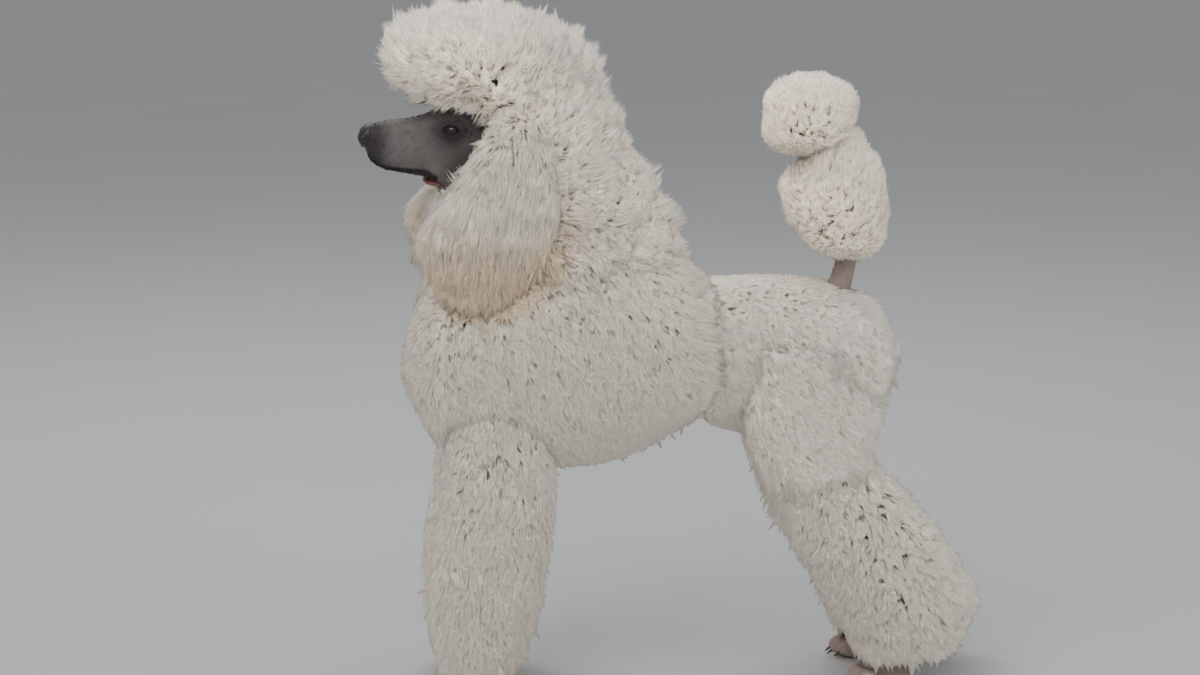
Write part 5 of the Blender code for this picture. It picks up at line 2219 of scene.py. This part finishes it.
def aim(thing: bpy.types.Object, place: Vector, target: Vector) -> None:
    """Puts a light or camera at a place, looking at a target."""
    thing.location = place
    thing.rotation_euler = (target - place).to_track_quat("-Z", "Y").to_euler()


class Studio:
    """Floor, soft light and the camera of the photograph."""

    def floor(self) -> None:
        """A wide plain pale floor."""
        mesh = bpy.data.meshes.new("studio_floor")
        reach = 60.0
        corners = [(x * reach, y * reach, 0.0) for x, y in ((-1, -1), (1, -1), (1, 1), (-1, 1))]
        mesh.from_pydata(corners, [], [(0, 1, 2, 3)])
        made = linked("studio_floor", mesh)
        finish = Finish("pale_floor", Roughness=0.8)
        colour = finish.mixed(finish.noise(3.0, 2.0), (0.60, 0.60, 0.59), (0.64, 0.64, 0.63))
        mesh.materials.append(finish.feed(Base_Color=colour))

    def light(
        self, name: str, place: tuple[float, ...], size: float, power: float, tone: tuple[float, ...]
    ) -> None:
        """A square soft light that faces the animal.

        Args:
            name: The light's name.
            place: Where it stands.
            size: Length of its side.
            power: Watts.
            tone: Its colour.
        """
        data = bpy.data.lights.new(name, "AREA")
        data.size = size
        data.energy = power
        data.color = tone
        aim(linked(name, data), Vector(place), Vector((0.0, 0.0, 0.5)))

    def sky(self) -> None:
        """An even pale surround."""
        world = bpy.data.worlds.new("pale_surround")
        world.use_nodes = True
        nodes, links = world.node_tree.nodes, world.node_tree.links
        place = nodes.new("ShaderNodeTexCoord")
        split = nodes.new("ShaderNodeSeparateXYZ")
        ramp = nodes.new("ShaderNodeValToRGB")
        stops = ((0.02, (0.47, 0.475, 0.48, 1.0)), (0.35, (0.84, 0.87, 0.90, 1.0)))
        for element, (position, colour) in zip(ramp.color_ramp.elements, stops):
            element.position = position
            element.color = colour
        links.new(place.outputs["Generated"], split.inputs[0])
        links.new(split.outputs["Z"], ramp.inputs["Fac"])
        links.new(ramp.outputs["Color"], nodes["Background"].inputs["Color"])
        nodes["Background"].inputs["Strength"].default_value = 0.46
        bpy.context.scene.world = world

    def camera(self) -> None:
        """The photograph's view: 6 degrees towards the head and 10 degrees down."""
        data = bpy.data.cameras.new("photo_view")
        data.lens = 117.0
        data.sensor_width = 36.0
        made = linked("photo_view", data)
        turn, rise, away = math.radians(-6.0), math.radians(10.3), 5.6
        target = Vector((-0.097, 0.0, 0.503))
        level = Vector((math.sin(turn), -math.cos(turn), 0.0)) * math.cos(rise)
        offset = level + Vector((0.0, 0.0, math.sin(rise)))
        aim(made, target + offset * away, target)
        bpy.context.scene.camera = made

    def build(self) -> None:
        """Sets up everything round the animal."""
        self.floor()
        self.light("key", (-1.6, -2.6, 3.4), 2.6, 69.0, (1.0, 0.97, 0.93))
        self.light("top", (-0.3, 1.9, 3.3), 2.6, 56.0, (0.97, 0.99, 1.0))
        self.light("fill", (2.8, -1.8, 1.6), 2.4, 20.0, (0.95, 0.97, 1.0))
        self.sky()
        self.camera()


def main() -> None:
    """Builds and dresses the animal and its studio."""
    logging.basicConfig(level=logging.INFO, format="%(name)s %(message)s")
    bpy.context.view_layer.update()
    Studio().build()
    skin = Skin().build(skin_finish())
    Fuzz().build(skin, short_hair_finish())
    head = Head()
    head.eyes(eye_finish())
    head.nose(nose_finish())
    head.tongue(tongue_finish())
    horn = horn_finish()
    for name, side in SIDES:
        Claws().build(f"forefoot_{name}", FOREFOOT, side, horn)
        Claws().build(f"hindfoot_{name}", HINDFOOT, side, horn)
    finishes = {Slot.COAT: coat_finish("white_coat", 0.3), Slot.EAR_COAT: coat_finish("cream_coat", 0.3)}
    for coat in coats():
        coat.build(finishes[coat.slot])


if __name__ == "__main__":
    main()
